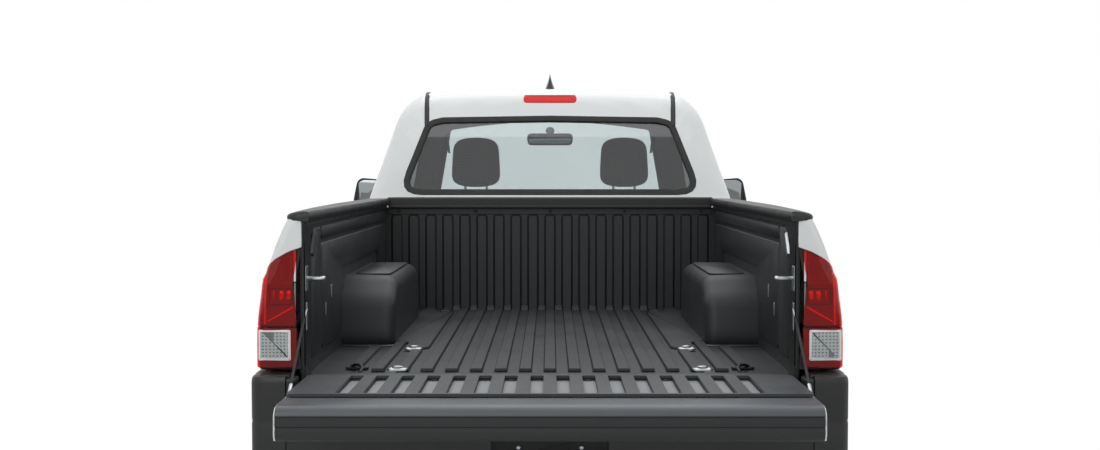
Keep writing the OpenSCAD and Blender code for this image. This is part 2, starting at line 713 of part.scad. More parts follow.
module leaf_springs() color([0.09, 0.09, 0.09]) place() both() {
    // Stacked leaves, each one a shallow arc
    for (i = [0:2]) side_bar(508, 572) polygon(concat(
        [for (t = steps(-1, 1, 16))
            [wheelbase + t*(620 - 130*i), axle_z + 58 + i*11 + 70*sq(t*(1 - 0.21*i))]],
        [for (t = steps(1, -1, 16))
            [wheelbase + t*(620 - 130*i), axle_z + 69.5 + i*11 + 70*sq(t*(1 - 0.21*i))]]));
    for (s = [-1, 1]) x_bar(504, 576, wheelbase + s*626, axle_z + 134, 24);
    // Shackle and front hanger, up to the frame rail
    side_bar(476, 506) polygon([[wheelbase - 660, 500], [wheelbase - 600, 500], [wheelbase - 560, 640],
        [wheelbase - 700, 640]]);
    side_bar(476, 506) polygon([[wheelbase + 606, 500], [wheelbase + 646, 500], [wheelbase + 670, 660],
        [wheelbase + 610, 660]]);
}

module propshaft() color([0.12, 0.12, 0.12]) place()
    link([0, 1258, 452], [0, wheelbase - 234, axle_z + 3], 36);

module engine_block() color([0.3, 0.3, 0.32]) place() union() {
    block([-260, -330, 480], [260, 330, 1010]);
    block([-140, 329, 400], [140, 540, 640]);
    block([-110, 539, 395], [110, 1255, 560]);
}

module fuel_tank() color([0.1, 0.1, 0.1]) place() difference() {
    block([rail_x - 350, 1760, 330], [rail_x - 36, 2480, 450]);
    block([rail_x - 360, 1750, 320], [rail_x - 300, 2500, 350]);
}

module exhaust() color([0.45, 0.44, 0.42]) place() union() {
    link([-260, 1300, 298], [-260, 1720, 298], 28);
    link([-260, 1700, 345], [-260, 2300, 345], 80);
    link([-260, 2290, 345], [-260, 2850, 400], 27);
    link([-260, 2830, 400], [-330, 3010, 576], 27);
    link([-330, 2990, 576], [-330, 3700, 576], 27);
    link([-330, 3685, 582], [-350, 3800, 500], 26);
    link([-350, 3785, 500], [-350, 3950, 490], 27);
    link([-350, 3935, 490], [-650, 4090, 480], 27);
}

module spare_wheel() color([0.06, 0.06, 0.06]) place() translate([60, 3960, 402]) union() {
    difference() {
        cylinder(r = 368, h = 150, $fn = 96);
        translate([0, 0, -1]) cylinder(r = 205, h = 152, $fn = 64);
    }
    difference() {
        translate([0, 0, 40]) cylinder(r = 206, h = 60, $fn = 64);
        translate([0, 0, -1]) cylinder(r = 50, h = 200, $fn = 48);
    }
}

module front_suspension() color([0.1, 0.1, 0.1]) place() union() {
    // Cross member below the engine
    block([-408, -130, 330], [408, 120, 400]);
    both() {
        block([330, -130, 380], [408, 120, 580]);
        // Lower and upper arms
        for (s = [-1, 1]) {
            link([400, s*170, 330], [640, 0, 248], 17);
            link([496, s*110, 640], [628, s*4, 668], 12);
        }
        block([380, -180, 300], [430, 180, 360]);
        block([472, -130, 615], [500, 130, 665]);
        translate([650, 0, 236]) cylinder(r = 28, h = 34, $fn = 32);
        translate([650, 0, 655]) cylinder(r = 24, h = 26, $fn = 32);
        // Spring and damper
        translate([528, 0, 310]) cylinder(r = 24, h = 60, $fn = 32);
        translate([528, 0, 368]) cylinder(r = 52, h = 300, $fn = 48);
        translate([528, 0, 660]) cylinder(r = 62, h = 14, $fn = 48);
        translate([473, -45, 655]) cube([50, 90, 24]);
    }
}

// Carries one front wheel and turns about the two ball joints
module knuckle() color([0.16, 0.16, 0.17]) place() union() {
    translate([650, 0, 275]) cylinder(r = 26, h = 34, $fn = 32);
    translate([650, 0, 618]) cylinder(r = 22, h = 31, $fn = 32);
    hull() {
        translate([648, -18, 300]) cube([20, 36, 10]);
        translate([660, -32, 370]) cube([30, 64, 40]);
    }
    hull() {
        translate([660, -32, 380]) cube([30, 64, 40]);
        translate([640, -14, 612]) cube([24, 28, 12]);
    }
    // Steering arm
    hull() {
        translate([660, 6, 441]) cube([24, 20, 22]);
        translate([tie_x, tie_y, 441]) cylinder(r = 16, h = 22, $fn = 24);
    }
    x_bar(680, 712, 0, axle_z, 60);
    x_bar(712, 736, 0, axle_z, 152);
    x_bar(735, 752, 0, axle_z, 78);
    x_bar(750, 792, 0, axle_z, hub_r);
    // Brake caliper
    difference() {
        translate([700, 20, axle_z - 60]) cube([48, 150, 120]);
        x_bar(690, 760, 0, axle_z, 118);
    }
}

// The rack slides sideways and its rods reach the steering arms
module steering_rack() color([0.2, 0.2, 0.21]) place() union() {
    x_bar(-360, 360, 175, 424, 20);
    both() link([350, 175, 424], [tie_x, tie_y, 415], 11);
    both() translate([tie_x, tie_y, 398]) cylinder(r = 18, h = 36, $fn = 24);
}

// ---------------------------------------------------------------- wheels

module tyre(x, y) color([0.05, 0.05, 0.05]) place() translate([x - tyre_w/2, y, axle_z]) rotate([90, 0, 90])
    rotate_extrude($fn = 128) polygon([
        [rim_r, 22], [rim_r + 40, 4], [rim_r + 90, 0], [rim_r + 140, 14], [tyre_r - 10, 28], [tyre_r, 46],
        [tyre_r, tyre_w - 46], [tyre_r - 10, tyre_w - 28], [rim_r + 140, tyre_w - 14], [rim_r + 90, tyre_w],
        [rim_r + 40, tyre_w - 4], [rim_r, tyre_w - 22]]);

module rim(side, y) color([0.75, 0.76, 0.78]) place() translate([0, y, axle_z])
    rotate([90, 0, 90 - (side < 0 ? 180 : 0)])
    difference() {
        union() {
            // Barrel
            rotate_extrude($fn = 128) polygon([
                [rim_r - 0.5, track/2 - tyre_w/2 + 22], [rim_r - 0.5, track/2 + tyre_w/2 - 22],
                [rim_r - 4, track/2 + tyre_w/2 - 16], [rim_r - 16, track/2 + tyre_w/2 - 22],
                [rim_r - 18, track/2 + 60], [rim_r - 22, track/2 - 40],
                [rim_r - 12, track/2 - tyre_w/2 + 22]]);
            // Face
            rotate_extrude($fn = 128) polygon([
                [hub_r + 0.6, track/2 - 30], [70, track/2 - 30], [90, track/2 - 18],
                [rim_r - 15, track/2 + 46],
                [rim_r - 15, track/2 + 76], [86, track/2 + 20], [hub_r + 0.6, track/2 + 14]]);
        }
        for (a = [0:60:300]) rotate([0, 0, a + 30]) hull() {
            translate([118, 0, track/2 - 60]) cylinder(r = 20, h = 200, $fn = 32);
            translate([158, 0, track/2 - 60]) cylinder(r = 34, h = 200, $fn = 32);
        }
    }

// ---------------------------------------------------------------- assembly

module right() mirror([1, 0, 0]) children();

ladder_frame();
rear_axle();
leaf_springs();
propshaft();
front_suspension();
engine_block();
fuel_tank();
exhaust();
spare_wheel();
cab_shell();
roof_panel();
cab_floor();
front_fenders();
bed_tub();
bed_sides();
rail_caps();
tail_lamps();
headlamps();
grille();
front_bumper();
rear_bumper();
windscreen();
rear_window();
dashboard();
seats();
brake_lamp();
roof_antenna();
tailgate_straps();
hood();
tailgate();
steering_rack();
steering_wheel();
door_front();  // door_front_left
right() door_front();  // door_front_right
door_rear();  // door_rear_left
right() door_rear();  // door_rear_right
glass_front();  // glass_front_left
right() glass_front();  // glass_front_right
glass_rear();  // glass_rear_left
right() glass_rear();  // glass_rear_right
mirror_pod();  // mirror_left
right() mirror_pod();  // mirror_right
knuckle();  // knuckle_left
right() knuckle();  // knuckle_right
tyre(track/2, 0);  // tyre_front_left
tyre(-track/2, 0);  // tyre_front_right
tyre(track/2, wheelbase);  // tyre_rear_left
tyre(-track/2, wheelbase);  // tyre_rear_right
rim(1, 0);  // rim_front_left
rim(-1, 0);  // rim_front_right
rim(1, wheelbase);  // rim_rear_left
rim(-1, wheelbase);  // rim_rear_right
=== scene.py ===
# An extended-cab pickup truck with its tailgate down, standing on a pale studio floor.
# Piece sizes are real millimetres, counted rearwards from the front axle and up from the floor.
import math

import bpy
import numpy as np
from mathutils import Euler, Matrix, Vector
from mathutils.geometry import delaunay_2d_cdt


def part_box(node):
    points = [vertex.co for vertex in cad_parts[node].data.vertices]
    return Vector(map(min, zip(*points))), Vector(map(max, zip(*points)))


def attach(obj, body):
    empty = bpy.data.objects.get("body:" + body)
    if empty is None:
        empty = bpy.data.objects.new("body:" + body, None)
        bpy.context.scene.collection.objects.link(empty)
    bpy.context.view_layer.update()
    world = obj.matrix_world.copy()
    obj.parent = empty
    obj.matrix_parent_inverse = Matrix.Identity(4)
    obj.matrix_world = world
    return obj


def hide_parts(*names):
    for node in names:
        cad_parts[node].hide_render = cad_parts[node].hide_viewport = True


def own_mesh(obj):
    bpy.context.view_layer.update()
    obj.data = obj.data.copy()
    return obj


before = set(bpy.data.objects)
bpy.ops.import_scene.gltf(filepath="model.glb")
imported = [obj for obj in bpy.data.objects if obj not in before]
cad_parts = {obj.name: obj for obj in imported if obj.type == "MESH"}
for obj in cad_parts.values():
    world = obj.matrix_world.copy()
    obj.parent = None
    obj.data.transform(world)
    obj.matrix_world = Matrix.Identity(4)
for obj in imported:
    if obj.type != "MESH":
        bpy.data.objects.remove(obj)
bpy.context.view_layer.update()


# ---------------------------------------------------------------- camera
# An eye-height camera stands in line with the truck, a pace and a half behind the open tailgate,
# and looks forward over the load floor, a little downwards.
tyre_low, tyre_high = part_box("tyre_front_left")
front_axle_y = (tyre_low.y + tyre_high.y) / 2
ground_z = tyre_low.z


def metres(points):
    """Turns millimetres from the front axle into metres in the shared frame."""
    return np.asarray(points, float).reshape(-1, 3) / 1000 + np.array([0, front_axle_y, ground_z])


camera = bpy.data.objects.new("camera", bpy.data.cameras.new("camera"))
camera.data.lens = 43.33
camera.data.sensor_width = 36
camera.data.clip_end = 200
camera.location = metres([0, 8165, 1390])[0]
camera.rotation_euler = Euler((math.radians(87.75), 0, math.radians(180)))
bpy.context.scene.collection.objects.link(camera)
bpy.context.scene.camera = camera
bpy.context.scene.view_settings.view_transform = "Standard"


# ---------------------------------------------------------------- studio
# A seamless paper sweep on the floor and soft overhead light banks, as for a catalogue picture.
# The paper reads as plain white and keeps the truck's soft shadow.
def srgb(code):
    """A hex colour turned to linear, with alpha 1."""
    parts = [int(code[i:i + 2], 16) / 255 for i in (1, 3, 5)]
    return [p / 12.92 if p <= 0.04045 else ((p + 0.055) / 1.055) ** 2.4 for p in parts] + [1.0]


def add(tree, kind, inputs=None, **settings):
    """Adds one shader node with its settings, and sets or links each input by name or number."""
    made = tree.nodes.new("ShaderNode" + kind)
    for key, value in settings.items():
        setattr(made, key, value)
    for key, value in (inputs or {}).items():
        if isinstance(value, bpy.types.NodeSocket):
            tree.links.new(value, made.inputs[key])
        else:
            made.inputs[key].default_value = value
    return made


world = bpy.data.worlds.new("studio")
bpy.context.scene.world = world
world.use_nodes = True
tree = world.node_tree
tree.nodes.clear()
path = add(tree, "LightPath")
seen = add(tree, "Math", {0: path.outputs["Is Camera Ray"], 1: path.outputs["Is Glossy Ray"]},
    operation="MAXIMUM")
seen = add(tree, "Math", {0: seen.outputs[0], 1: path.outputs["Is Transmission Ray"]}, operation="MAXIMUM")
level = add(tree, "MapRange", {"Value": seen.outputs[0], "To Min": 0.5, "To Max": 1.0})
sky = add(tree, "Background", {"Color": (1, 1, 1, 1), "Strength": level.outputs[0]})
add(tree, "OutputWorld", {"Surface": sky.outputs[0]})

for name, place, size, power, turn in (("bank_over_bed", (0, 3900, 4300), (3.4, 4.2), 46, (0, 0, 0)),
        ("bank_over_cab", (0, 400, 4600), (4.0, 4.0), 46, (0, 0, 0)), ("bank_behind", (1800, 8600, 3300),
        (3.0, 2.2), 34, (58, 0, 168))):
    lamp = bpy.data.lights.new(name, "AREA")
    lamp.shape, lamp.size, lamp.size_y, lamp.energy = "RECTANGLE", size[0], size[1], power
    bank = bpy.data.objects.new(name, lamp)
    bank.location = metres(place)[0]
    bank.rotation_euler = Euler([math.radians(a) for a in turn])
    bpy.context.scene.collection.objects.link(bank)

# White background paper, matt, with a faint tooth
paper = bpy.data.materials.new("matt_paper_sweep")
paper.use_nodes = True
tree = paper.node_tree
tree.nodes.clear()
where = add(tree, "TexCoord")
tooth = add(tree, "TexNoise", {"Vector": where.outputs["Object"], "Scale": 40.0, "Detail": 3.0})
tone = add(tree, "Mix", {"Factor": tooth.outputs["Fac"], 6: srgb("#fbfbfb"), 7: srgb("#ffffff")},
    data_type="RGBA")
matt = add(tree, "BsdfDiffuse", {"Color": tone.outputs[2]})
glow = add(tree, "Emission", {"Color": (1, 1, 1, 1), "Strength": 1.12})
path = add(tree, "LightPath")
share = add(tree, "MapRange", {"Value": path.outputs["Is Camera Ray"], "To Min": 0.0, "To Max": 0.82})
both = add(tree, "MixShader", {0: share.outputs[0], 1: matt.outputs[0], 2: glow.outputs[0]})
add(tree, "OutputMaterial", {"Surface": both.outputs[0]})
sweep = bpy.data.meshes.new("paper_sweep")
sweep.from_pydata([(-60, -60, ground_z), (60, -60, ground_z), (60, 60, ground_z), (-60, 60, ground_z)], [],
    [(0, 1, 2, 3)])
sweep.materials.append(paper)
floor = bpy.data.objects.new("paper_sweep", sweep)
bpy.context.scene.collection.objects.link(floor)


# ---------------------------------------------------------------- cab
# The cab is welded from pressed steel sheet with rolled edges, then dipped, primed and sprayed white.
# Roof, posts, sills and rear quarters read as one skin, with cut-outs for doors and glass.
def finish(name, dark, light, patch, grain, relief, rough, **constants):
    """A surface whose tone drifts over patches and whose grain stands in relief, all in mm."""
    made = bpy.data.materials.new(name)
    made.use_nodes = True
    tree = made.node_tree
    shader = tree.nodes["Principled BSDF"]
    for key, value in constants.items():
        shader.inputs[key.replace("_", " ")].default_value = value
    where = add(tree, "TexCoord").outputs["Object"]
    drift = add(tree, "TexNoise", {"Vector": where, "Scale": 1000 / patch, "Detail": 4.0, "Roughness": 0.6})
    tone = add(tree, "Mix", {"Factor": drift.outputs["Fac"], 6: srgb(dark), 7: srgb(light)},
        data_type="RGBA")
    tree.links.new(tone.outputs[2], shader.inputs["Base Color"])
    sheen = add(tree, "MapRange", {"Value": drift.outputs["Fac"], "From Min": 0.3, "From Max": 0.7,
        "To Min": rough[0], "To Max": rough[1]})
    tree.links.new(sheen.outputs[0], shader.inputs["Roughness"])
    pits = add(tree, "TexVoronoi", {"Vector": where, "Scale": 1000 / grain}, feature="SMOOTH_F1")
    bump = add(tree, "Bump", {"Height": pits.outputs["Distance"], "Distance": relief / 1000})
    tree.links.new(bump.outputs[0], shader.inputs["Normal"])
    return made


# Sprayed and baked acrylic enamel: a clear wet coat over white, with a faint orange peel of about 9 mm
white_enamel = finish("white_acrylic_enamel", "#e6eaea", "#eff3f3", 400, 9, 0.03, (0.3, 0.38),
    Coat_Weight=0.8, Coat_Roughness=0.04, IOR=1.5)
# Bake-hardened primer on the hidden side of the sheet: duller and greyer than the top coat
grey_primer = finish("grey_baked_primer", "#8c8f90", "#a2a5a6", 120, 12, 0.05, (0.5, 0.6), IOR=1.5)
# Moulded headliner and post trim: pale felted cloth over card
headliner = finish("felted_headliner", "#5c5e60", "#6c6e70", 60, 4, 0.3, (0.9, 0.97), IOR=1.45)


def piece(name, points, faces, body, *materials, normals=None, slots=None, sharp=None, slot=None):
    """Makes one mesh from millimetre points and lets it ride on its body."""
    mesh = bpy.data.meshes.new(name)
    mesh.from_pydata(metres(points).tolist(), [], [tuple(int(i) for i in f) for f in faces])
    for each in materials:
        mesh.materials.append(each)
    if slots is not None:
        mesh.polygons.foreach_set("material_index", np.asarray(slots, np.int32))
    mesh.polygons.foreach_set("use_smooth", [True] * len(mesh.polygons))
    mesh.validate()
    mesh.update()
    if normals is not None:
        mesh.normals_split_custom_set_from_vertices(np.asarray(normals, float).tolist())
    elif sharp is not None:
        mesh.set_sharp_from_angle(angle=math.radians(sharp))
    made = bpy.data.objects.new(name, mesh)
    bpy.context.scene.collection.objects.link(made)
    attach(made, body)
    return made


def divided(loop, step):
    """A closed outline with extra points, so that no side is longer than step."""
    loop = np.asarray(loop, float)
    out = []
    for a, b in zip(loop, np.roll(loop, -1, axis=0)):
        count = max(1, math.ceil(np.hypot(*(b - a)) / step))
        out += [a + (b - a) * i / count for i in range(count)]
    return np.array(out)


def rounded(loop, radius, count=6):
    """A closed outline with each corner rounded off."""
    loop = np.asarray(loop, float)
    out = []
    for a, b, c in zip(np.roll(loop, 1, axis=0), loop, np.roll(loop, -1, axis=0)):
        p, q = a - b, c - b
        lp, lq = np.hypot(*p), np.hypot(*q)
        half = math.acos(max(-1, min(1, p @ q / (lp * lq)))) / 2
        reach = min(radius / math.tan(half), lp * 0.48, lq * 0.48) if half < 1.55 else 0
        if reach < 0.5:
            out.append(b)
            continue
        start, end = b + p / lp * reach, b + q / lq * reach
        for t in np.linspace(0, 1, count):
            out.append((1 - t) ** 2 * start + 2 * t * (1 - t) * b + t * t * end)
    return np.array(out)


def inside(points, loop):
    """Which of the points lie inside a closed outline."""
    x, y = points[:, 0][:, None], points[:, 1][:, None]
    x0, y0 = loop[:, 0][None], loop[:, 1][None]
    x1, y1 = np.roll(loop[:, 0], -1)[None], np.roll(loop[:, 1], -1)[None]
    cross = ((y0 > y) != (y1 > y)) & (x < (x1 - x0) * (y - y0) / np.where(y1 == y0, 1e-9, y1 - y0) + x0)
    return cross.sum(axis=1) % 2 == 1


def turned(loop):
    """Twice the area inside a closed outline, positive where it runs anticlockwise."""
    nxt = np.roll(loop, -1, axis=0)
    return (loop[:, 0] * nxt[:, 1] - nxt[:, 0] * loop[:, 1]).sum()


def unit(v):
    return v / np.maximum(np.linalg.norm(v, axis=1, keepdims=True), 1e-9)


def spots(*columns):
    """Points from their columns of x, y and z."""
    return np.stack(columns, axis=1)


def pressing(name, outline, holes, place, body, outer, inner, step=40, thick=20, edge=3, flip=False,
        slot=None, seat=0):
    """A sheet cut to a flat outline, laid on the curved surface place(u, v), with its edges rolled inwards.
    It starts seat mm under the surface, and flip makes the other side's twin."""
    loops = [divided(outline, step)] + [divided(h, step) for h in holes]
    loops = [lp[::-1] if (turned(lp) > 0) != (i == 0) else lp for i, lp in enumerate(loops)]
    low, high = loops[0].min(axis=0), loops[0].max(axis=0)
    gu, gv = np.meshgrid(np.arange(low[0] + step / 2, high[0], step), np.arange(low[1] + step / 2, high[1],
        step))
    grid = spots(gu.ravel(), gv.ravel())
    keep = inside(grid, loops[0])
    for lp in loops[1:]:
        keep &= ~inside(grid, lp)
    grid = grid[keep]
    for lp in loops:
        a, d = lp[None], (np.roll(lp, -1, axis=0) - lp)[None]
        t = np.clip(((grid[:, None] - a) * d).sum(-1) / np.maximum((d * d).sum(-1), 1e-9), 0, 1)
        gap = np.linalg.norm(grid[:, None] - a - t[..., None] * d, axis=-1).min(axis=1)
        grid = grid[gap > step * 0.45]
    rim = np.concatenate(loops)
    flat = np.concatenate([rim, grid])
    edges, first = [], 0
    for lp in loops:
        edges += [(first + i, first + (i + 1) % len(lp)) for i in range(len(lp))]
        first += len(lp)
    vs, _, fs, origin, _, _ = delaunay_2d_cdt([tuple(p) for p in flat], edges, [], 1, 1e-4)
    flat_out = np.array([tuple(v) for v in vs])
    back = {k: i for i in range(len(vs)) for k in origin[i]}
    faces = np.array([f for f in fs if len(f) == 3])
    middle = flat_out[faces].mean(axis=1)
    keep = inside(middle, loops[0])
    for lp in loops[1:]:
        keep &= ~inside(middle, lp)
    faces = faces[keep]

    def at(p):
        return np.asarray(place(p[:, 0], p[:, 1]), float)

    shift = np.array([[1.0, 0]]), np.array([[0, 1.0]])
    du, dv = at(flat_out + shift[0]) - at(flat_out - shift[0]), at(flat_out + shift[1]) - at(flat_out -
        shift[1])
    points, norm = at(flat_out), unit(np.cross(du, dv))
    a, b, c = (points[faces[:, i]] for i in range(3))
    agree = (np.cross(b - a, c - a) * norm[faces[:, 0]]).sum(axis=1)
    if np.median(agree) < 0:
        faces = faces[:, ::-1]
    heart = np.array([0, points[:, 1].mean(), 900.0])
    if ((points - heart) * norm).sum() < 0:
        norm, faces = -norm, faces[:, ::-1]
    points = points - norm * seat
    verts, norms, quads, slots = [points], [norm], [], []
    count = len(points)
    surface = [tuple(f) for f in faces]
    inward = [tuple(count + i for i in f[::-1]) for f in faces]
    verts.append(points - norm * thick)
    norms.append(-norm)
    total = 2 * count
    first = 0
    for lp in loops:
        n = len(lp)
        ids = np.array([back[first + i] for i in range(n)])
        first += n
        nxt, prv = np.roll(lp, -1, axis=0), np.roll(lp, 1, axis=0)
        along = unit(unit(nxt - lp) + unit(lp - prv))
        out2 = spots(along[:, 1], -along[:, 0])
        p, nm = points[ids], norm[ids]
        out3 = unit(at(flat_out[ids] + out2 * 0.5) - at(flat_out[ids]))
        out3 = unit(out3 - nm * (out3 * nm).sum(axis=1, keepdims=True))
        previous = ids
        for angle, down in ((30, None), (60, None), (90, None), (90, thick)):
            s, c = math.sin(math.radians(angle)), math.cos(math.radians(angle))
            depth = edge * (1 - c) if down is None else down
            verts.append(p + out3 * edge * s - nm * depth)
            norms.append(unit(nm * c + out3 * s))
            ring = total + np.arange(n)
            total += n
            for i in range(n):
                j = (i + 1) % n
                quads.append((previous[i], ring[i], ring[j], previous[j]))
            previous = ring
        verts[1][ids] = p + out3 * edge - nm * thick
    a, b, c, d = (np.concatenate(verts)[[q[i] for q in quads]] for i in range(4))
    lay = (np.cross(b - a, d - a) * np.concatenate(norms)[[q[1] for q in quads]]).sum(axis=1)
    if np.median(lay) < 0:
        quads = [q[::-1] for q in quads]
    verts, norms = np.concatenate(verts), np.concatenate(norms)
    allf = surface + quads + inward
    slots = [0] * (len(surface) + len(quads)) + [1] * len(inward)
    if flip:
        verts, norms = verts * [-1, 1, 1], norms * [-1, 1, 1]
        allf = [f[::-1] for f in allf]
    return piece(name, verts, allf, body, outer, inner, normals=norms, slots=slots, slot=slot)


def smooth(t):
    t = np.clip(t, 0, 1)
    return t * t * (3 - 2 * t)


wheelbase, axle_z = 3235, 387.0


def flank(y, z):
    """Half width of the body below the window sills, with its shoulder crease and wheel arch flares."""
    y, z = np.broadcast_arrays(np.asarray(y, float), np.asarray(z, float))
    wall = np.where(z < 880, 897 - 42 * ((880 - z) / 420) ** 2,
        897 - 97 * (np.maximum(z - 880, 0) / 395) ** 2.2)
    ends = np.where(y < 300, -95 * ((300 - y) / 1000) ** 2, np.where(y > 3000,
        -57 * ((np.maximum(y, 3000) - 3000) / 1400) ** 2, 0))
    arch = np.maximum(*[48 * smooth((600 - np.hypot(y - a, z - axle_z)) / 130) for a in (0, wheelbase)])
    crease = 4.5 * (smooth((z - 1030) / 60) - smooth((z - 1092) / 9))
    hollow = -7 * np.exp(-((z - 665) / 70) ** 2) * (1 - arch / 48)
    return wall + ends + arch + crease + hollow


def side(y, z):
    """Half width of the cab, windows included."""
    y, z = np.broadcast_arrays(np.asarray(y, float), np.asarray(z, float))
    lean = 0.31 + np.where(y < 1300, 0.06 * ((1300 - y) / 700) ** 2, 0) + np.where(y > 1900,
        0.05 * ((y - 1900) / 450) ** 2, 0)
    return flank(y, np.minimum(z, 1262)) - np.maximum(z - 1262, 0) * lean


def roof_middle(y):
    return 1785 - np.where(y > 1650, 22, 30) * ((y - 1650) / 600) ** 2


slope = math.radians(37.7)


# Feet of the two glass slopes: windscreen and rear window
screen_y, screen_z = 455, 1190
rear_glass_y, rear_glass_z = 2352, 1272


def screen_gap(x, y, z):
    """How far a point stands in front of the curved windscreen surface."""
    deep = (y - screen_y) * math.sin(slope) - (z - screen_z) * math.cos(slope)
    return np.hypot(x, deep - 3000) - 3000


def fillet(a, b, r):
    return np.where((a > -r) & (b > -r), np.hypot(np.maximum(a + r, 0), np.maximum(b + r, 0)) - r,
        np.maximum(a, b))


def cab_gap(x, y, z):
    """How far a point stands outside the cab: sides, roof, rear and screen with soft edges between."""
    x = np.abs(x)
    walls = fillet((x - side(y, z)) * 0.955, z - roof_middle(y) + 12 * (x / 500) ** 2, 125)
    rear = fillet(y - 2410, ((y - rear_glass_y) + (z - rear_glass_z) * 0.3128) * 0.954, 70)
    return fillet(fillet(walls, rear, 58), screen_gap(x, y, z), 20)


def skin(start, way, far):
    """Where lines that start inside the cab meet its skin."""
    start, way = np.atleast_2d(start), unit(np.atleast_2d(way))
    lo, hi = np.zeros(len(start)), np.full(len(start), float(far))
    for _ in range(34):
        mid = (lo + hi) / 2
        p = start + way * mid[:, None]
        outside = cab_gap(p[:, 0], p[:, 1], p[:, 2]) > 0
        hi, lo = np.where(outside, mid, hi), np.where(outside, lo, mid)
    return start + way * lo[:, None]


# The skin is unrolled about a line through the cabin: u goes round the line, v runs along it
# and on over both of its ends.
line_front, line_rear, turn_mm = 1180.0, 2060.0, 800.0


def line_z(y):
    return np.interp(y, [line_front, line_rear], [1148.0, 1240.0])


def cab_place(u, v):
    theta = u / turn_mm
    over = np.where(v > line_rear, (v - line_rear) / turn_mm, np.where(v < line_front,
        (v - line_front) / turn_mm, 0))
    start = spots(np.zeros_like(u), np.clip(v, line_front, line_rear), line_z(v))
    way = spots(np.sin(theta) * np.cos(over), np.sin(over), np.cos(theta) * np.cos(over))
    return skin(start, way, 2600)


def cab_flat(points):
    """The unrolled place of points on or near the cab's skin."""
    p = np.asarray(points, float)
    ahead = np.where(p[:, 1] > line_rear, p[:, 1] - line_rear, np.where(p[:, 1] < line_front,
        p[:, 1] - line_front, 0))
    over = np.arctan2(ahead, np.hypot(p[:, 0], p[:, 2] - line_z(p[:, 1])))
    theta = np.arctan2(p[:, 0], p[:, 2] - line_z(p[:, 1]))
    return spots(theta * turn_mm, np.clip(p[:, 1], line_front, line_rear) + over * turn_mm)


def on_side(loop):
    """Side-view points (y, z) put on the cab's left side."""
    p = divided(loop, 30)
    start = spots(np.zeros(len(p)), p[:, 0], p[:, 1])
    return skin(start, np.tile([1.0, 0, 0], (len(p), 1)), 1100)


def on_slope(loop, base, angle, face):
    """Points (x, up the slope) put on the cab's skin, looking straight out of a slope that faces 1 or -1."""
    p = divided(loop, 30)
    c, s = math.cos(angle), math.sin(angle)
    out = np.array([0, -s, c]) * face
    start = spots(p[:, 0], base[0] + p[:, 1] * c, base[1] + p[:, 1] * s) - out * 230
    return skin(start, np.tile(out, (len(p), 1)), 900)


front_door = [(625, 505), (625, 1165), (762, 1246), (1322, 1664), (1672, 1672), (1672, 505)]
rear_door = [(1680, 505), (1680, 1672), (2030, 1664), (2118, 1622), (2196, 1250), (2200, 900), (2200, 640),
    (2140, 505)]
front_pane = [(826, 1266), (1338, 1634), (1634, 1638), (1634, 1266)]
rear_pane = [(1736, 1266), (1736, 1636), (2015, 1630), (2074, 1600), (2140, 1266)]
rear_slope = math.atan2(1662 - rear_glass_z, 2230 - rear_glass_y)
screen_cut = [(-690, 62), (-560, 800), (0, 818), (560, 800), (690, 62), (600, 38), (400, 16), (200, -6),
    (0, -12), (-200, -6), (-400, 16), (-600, 38)]
rear_cut = [(-668, 26), (-548, 362), (-480, 380), (0, 388), (480, 380), (548, 362), (668, 26)]

# Outline of the whole skin, as the edge a welder would walk: left sill, back wall, right sill, then
# up the right pillar, across below the glass and down the left pillar.
notch = np.array([(2146, 499), (2206, 637), (2206, 902), (2202, 1252), (2123, 1628), (2032, 1670),
    (1672, 1678), (1320, 1670), (755, 1249), (700, 1216)])
left = on_side([(627, 462), (1200, 462), (1800, 462), (2330, 462)])[:-1]
left = np.array([p for p in left if p[2] < 463])
left = left[np.argsort(left[:, 1])]
back_z = np.linspace(470, 1255, 14)
wall = spots(830 - 60 * (back_z - 470) / 785, np.full(14, 2000.0), back_z)
across = np.array([(x, 2000.0, 1262) for x in (700, 600, 500, 400, 300, 200, 150, 100, 70, 40, 20, 0)])
wall = np.concatenate([wall, across])
wall = skin(wall, np.tile([0, 1.0, 0], (len(wall), 1)), 800)
sill_top = on_side([(627, 499), (2146, 499)])
sill_top = sill_top[np.argsort(sill_top[:, 1])]
sill_top = np.array([p for i, p in enumerate(sill_top) if i == 0 or abs(p[1] - sill_top[i - 1][1]) > 5])
door_edge = rounded(notch, 40)
steps = np.array([p for p in divided(door_edge, 30) if p[0] > 690 and p[1] > 498])
post = steps[(np.arange(len(steps)) < np.argmin(np.hypot(*(steps - notch[-1]).T)) + 1)]
post = skin(spots(np.zeros(len(post)), post[:, 0], post[:, 1]), np.tile([1.0, 0, 0], (len(post), 1)), 1100)
cowl_x = np.linspace(790, 0, 24)
cowl_s = np.interp(cowl_x, [0, 200, 400, 600, 690, 790], [-34, -28, -8, 12, 36, 96])
cowl = spots(cowl_x, screen_y + cowl_s * math.cos(slope) + 300 * math.sin(slope),
    screen_z + cowl_s * math.sin(slope) - 300 * math.cos(slope))
cowl = skin(cowl, np.tile([0, -math.sin(slope), math.cos(slope)], (24, 1)), 900)
half = np.concatenate([cowl[::-1], post[::-1], sill_top[::-1], left, wall])
half_flat = cab_flat(half)
outline = np.concatenate([half_flat, half_flat[::-1][:-1] * [-1, 1]])
glass_hole = cab_flat(on_slope(rounded(screen_cut, 60), (screen_y, screen_z), slope, 1))
rear_hole = cab_flat(on_slope(rounded(rear_cut, 75), (rear_glass_y, rear_glass_z), rear_slope, -1))
cab = pressing("cab_skin", outline, [glass_hole, rear_hole], cab_place, "truck", white_enamel, headliner,
    step=34, thick=30, edge=4, slot="body_paint")
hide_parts("cab_shell", "roof_panel")

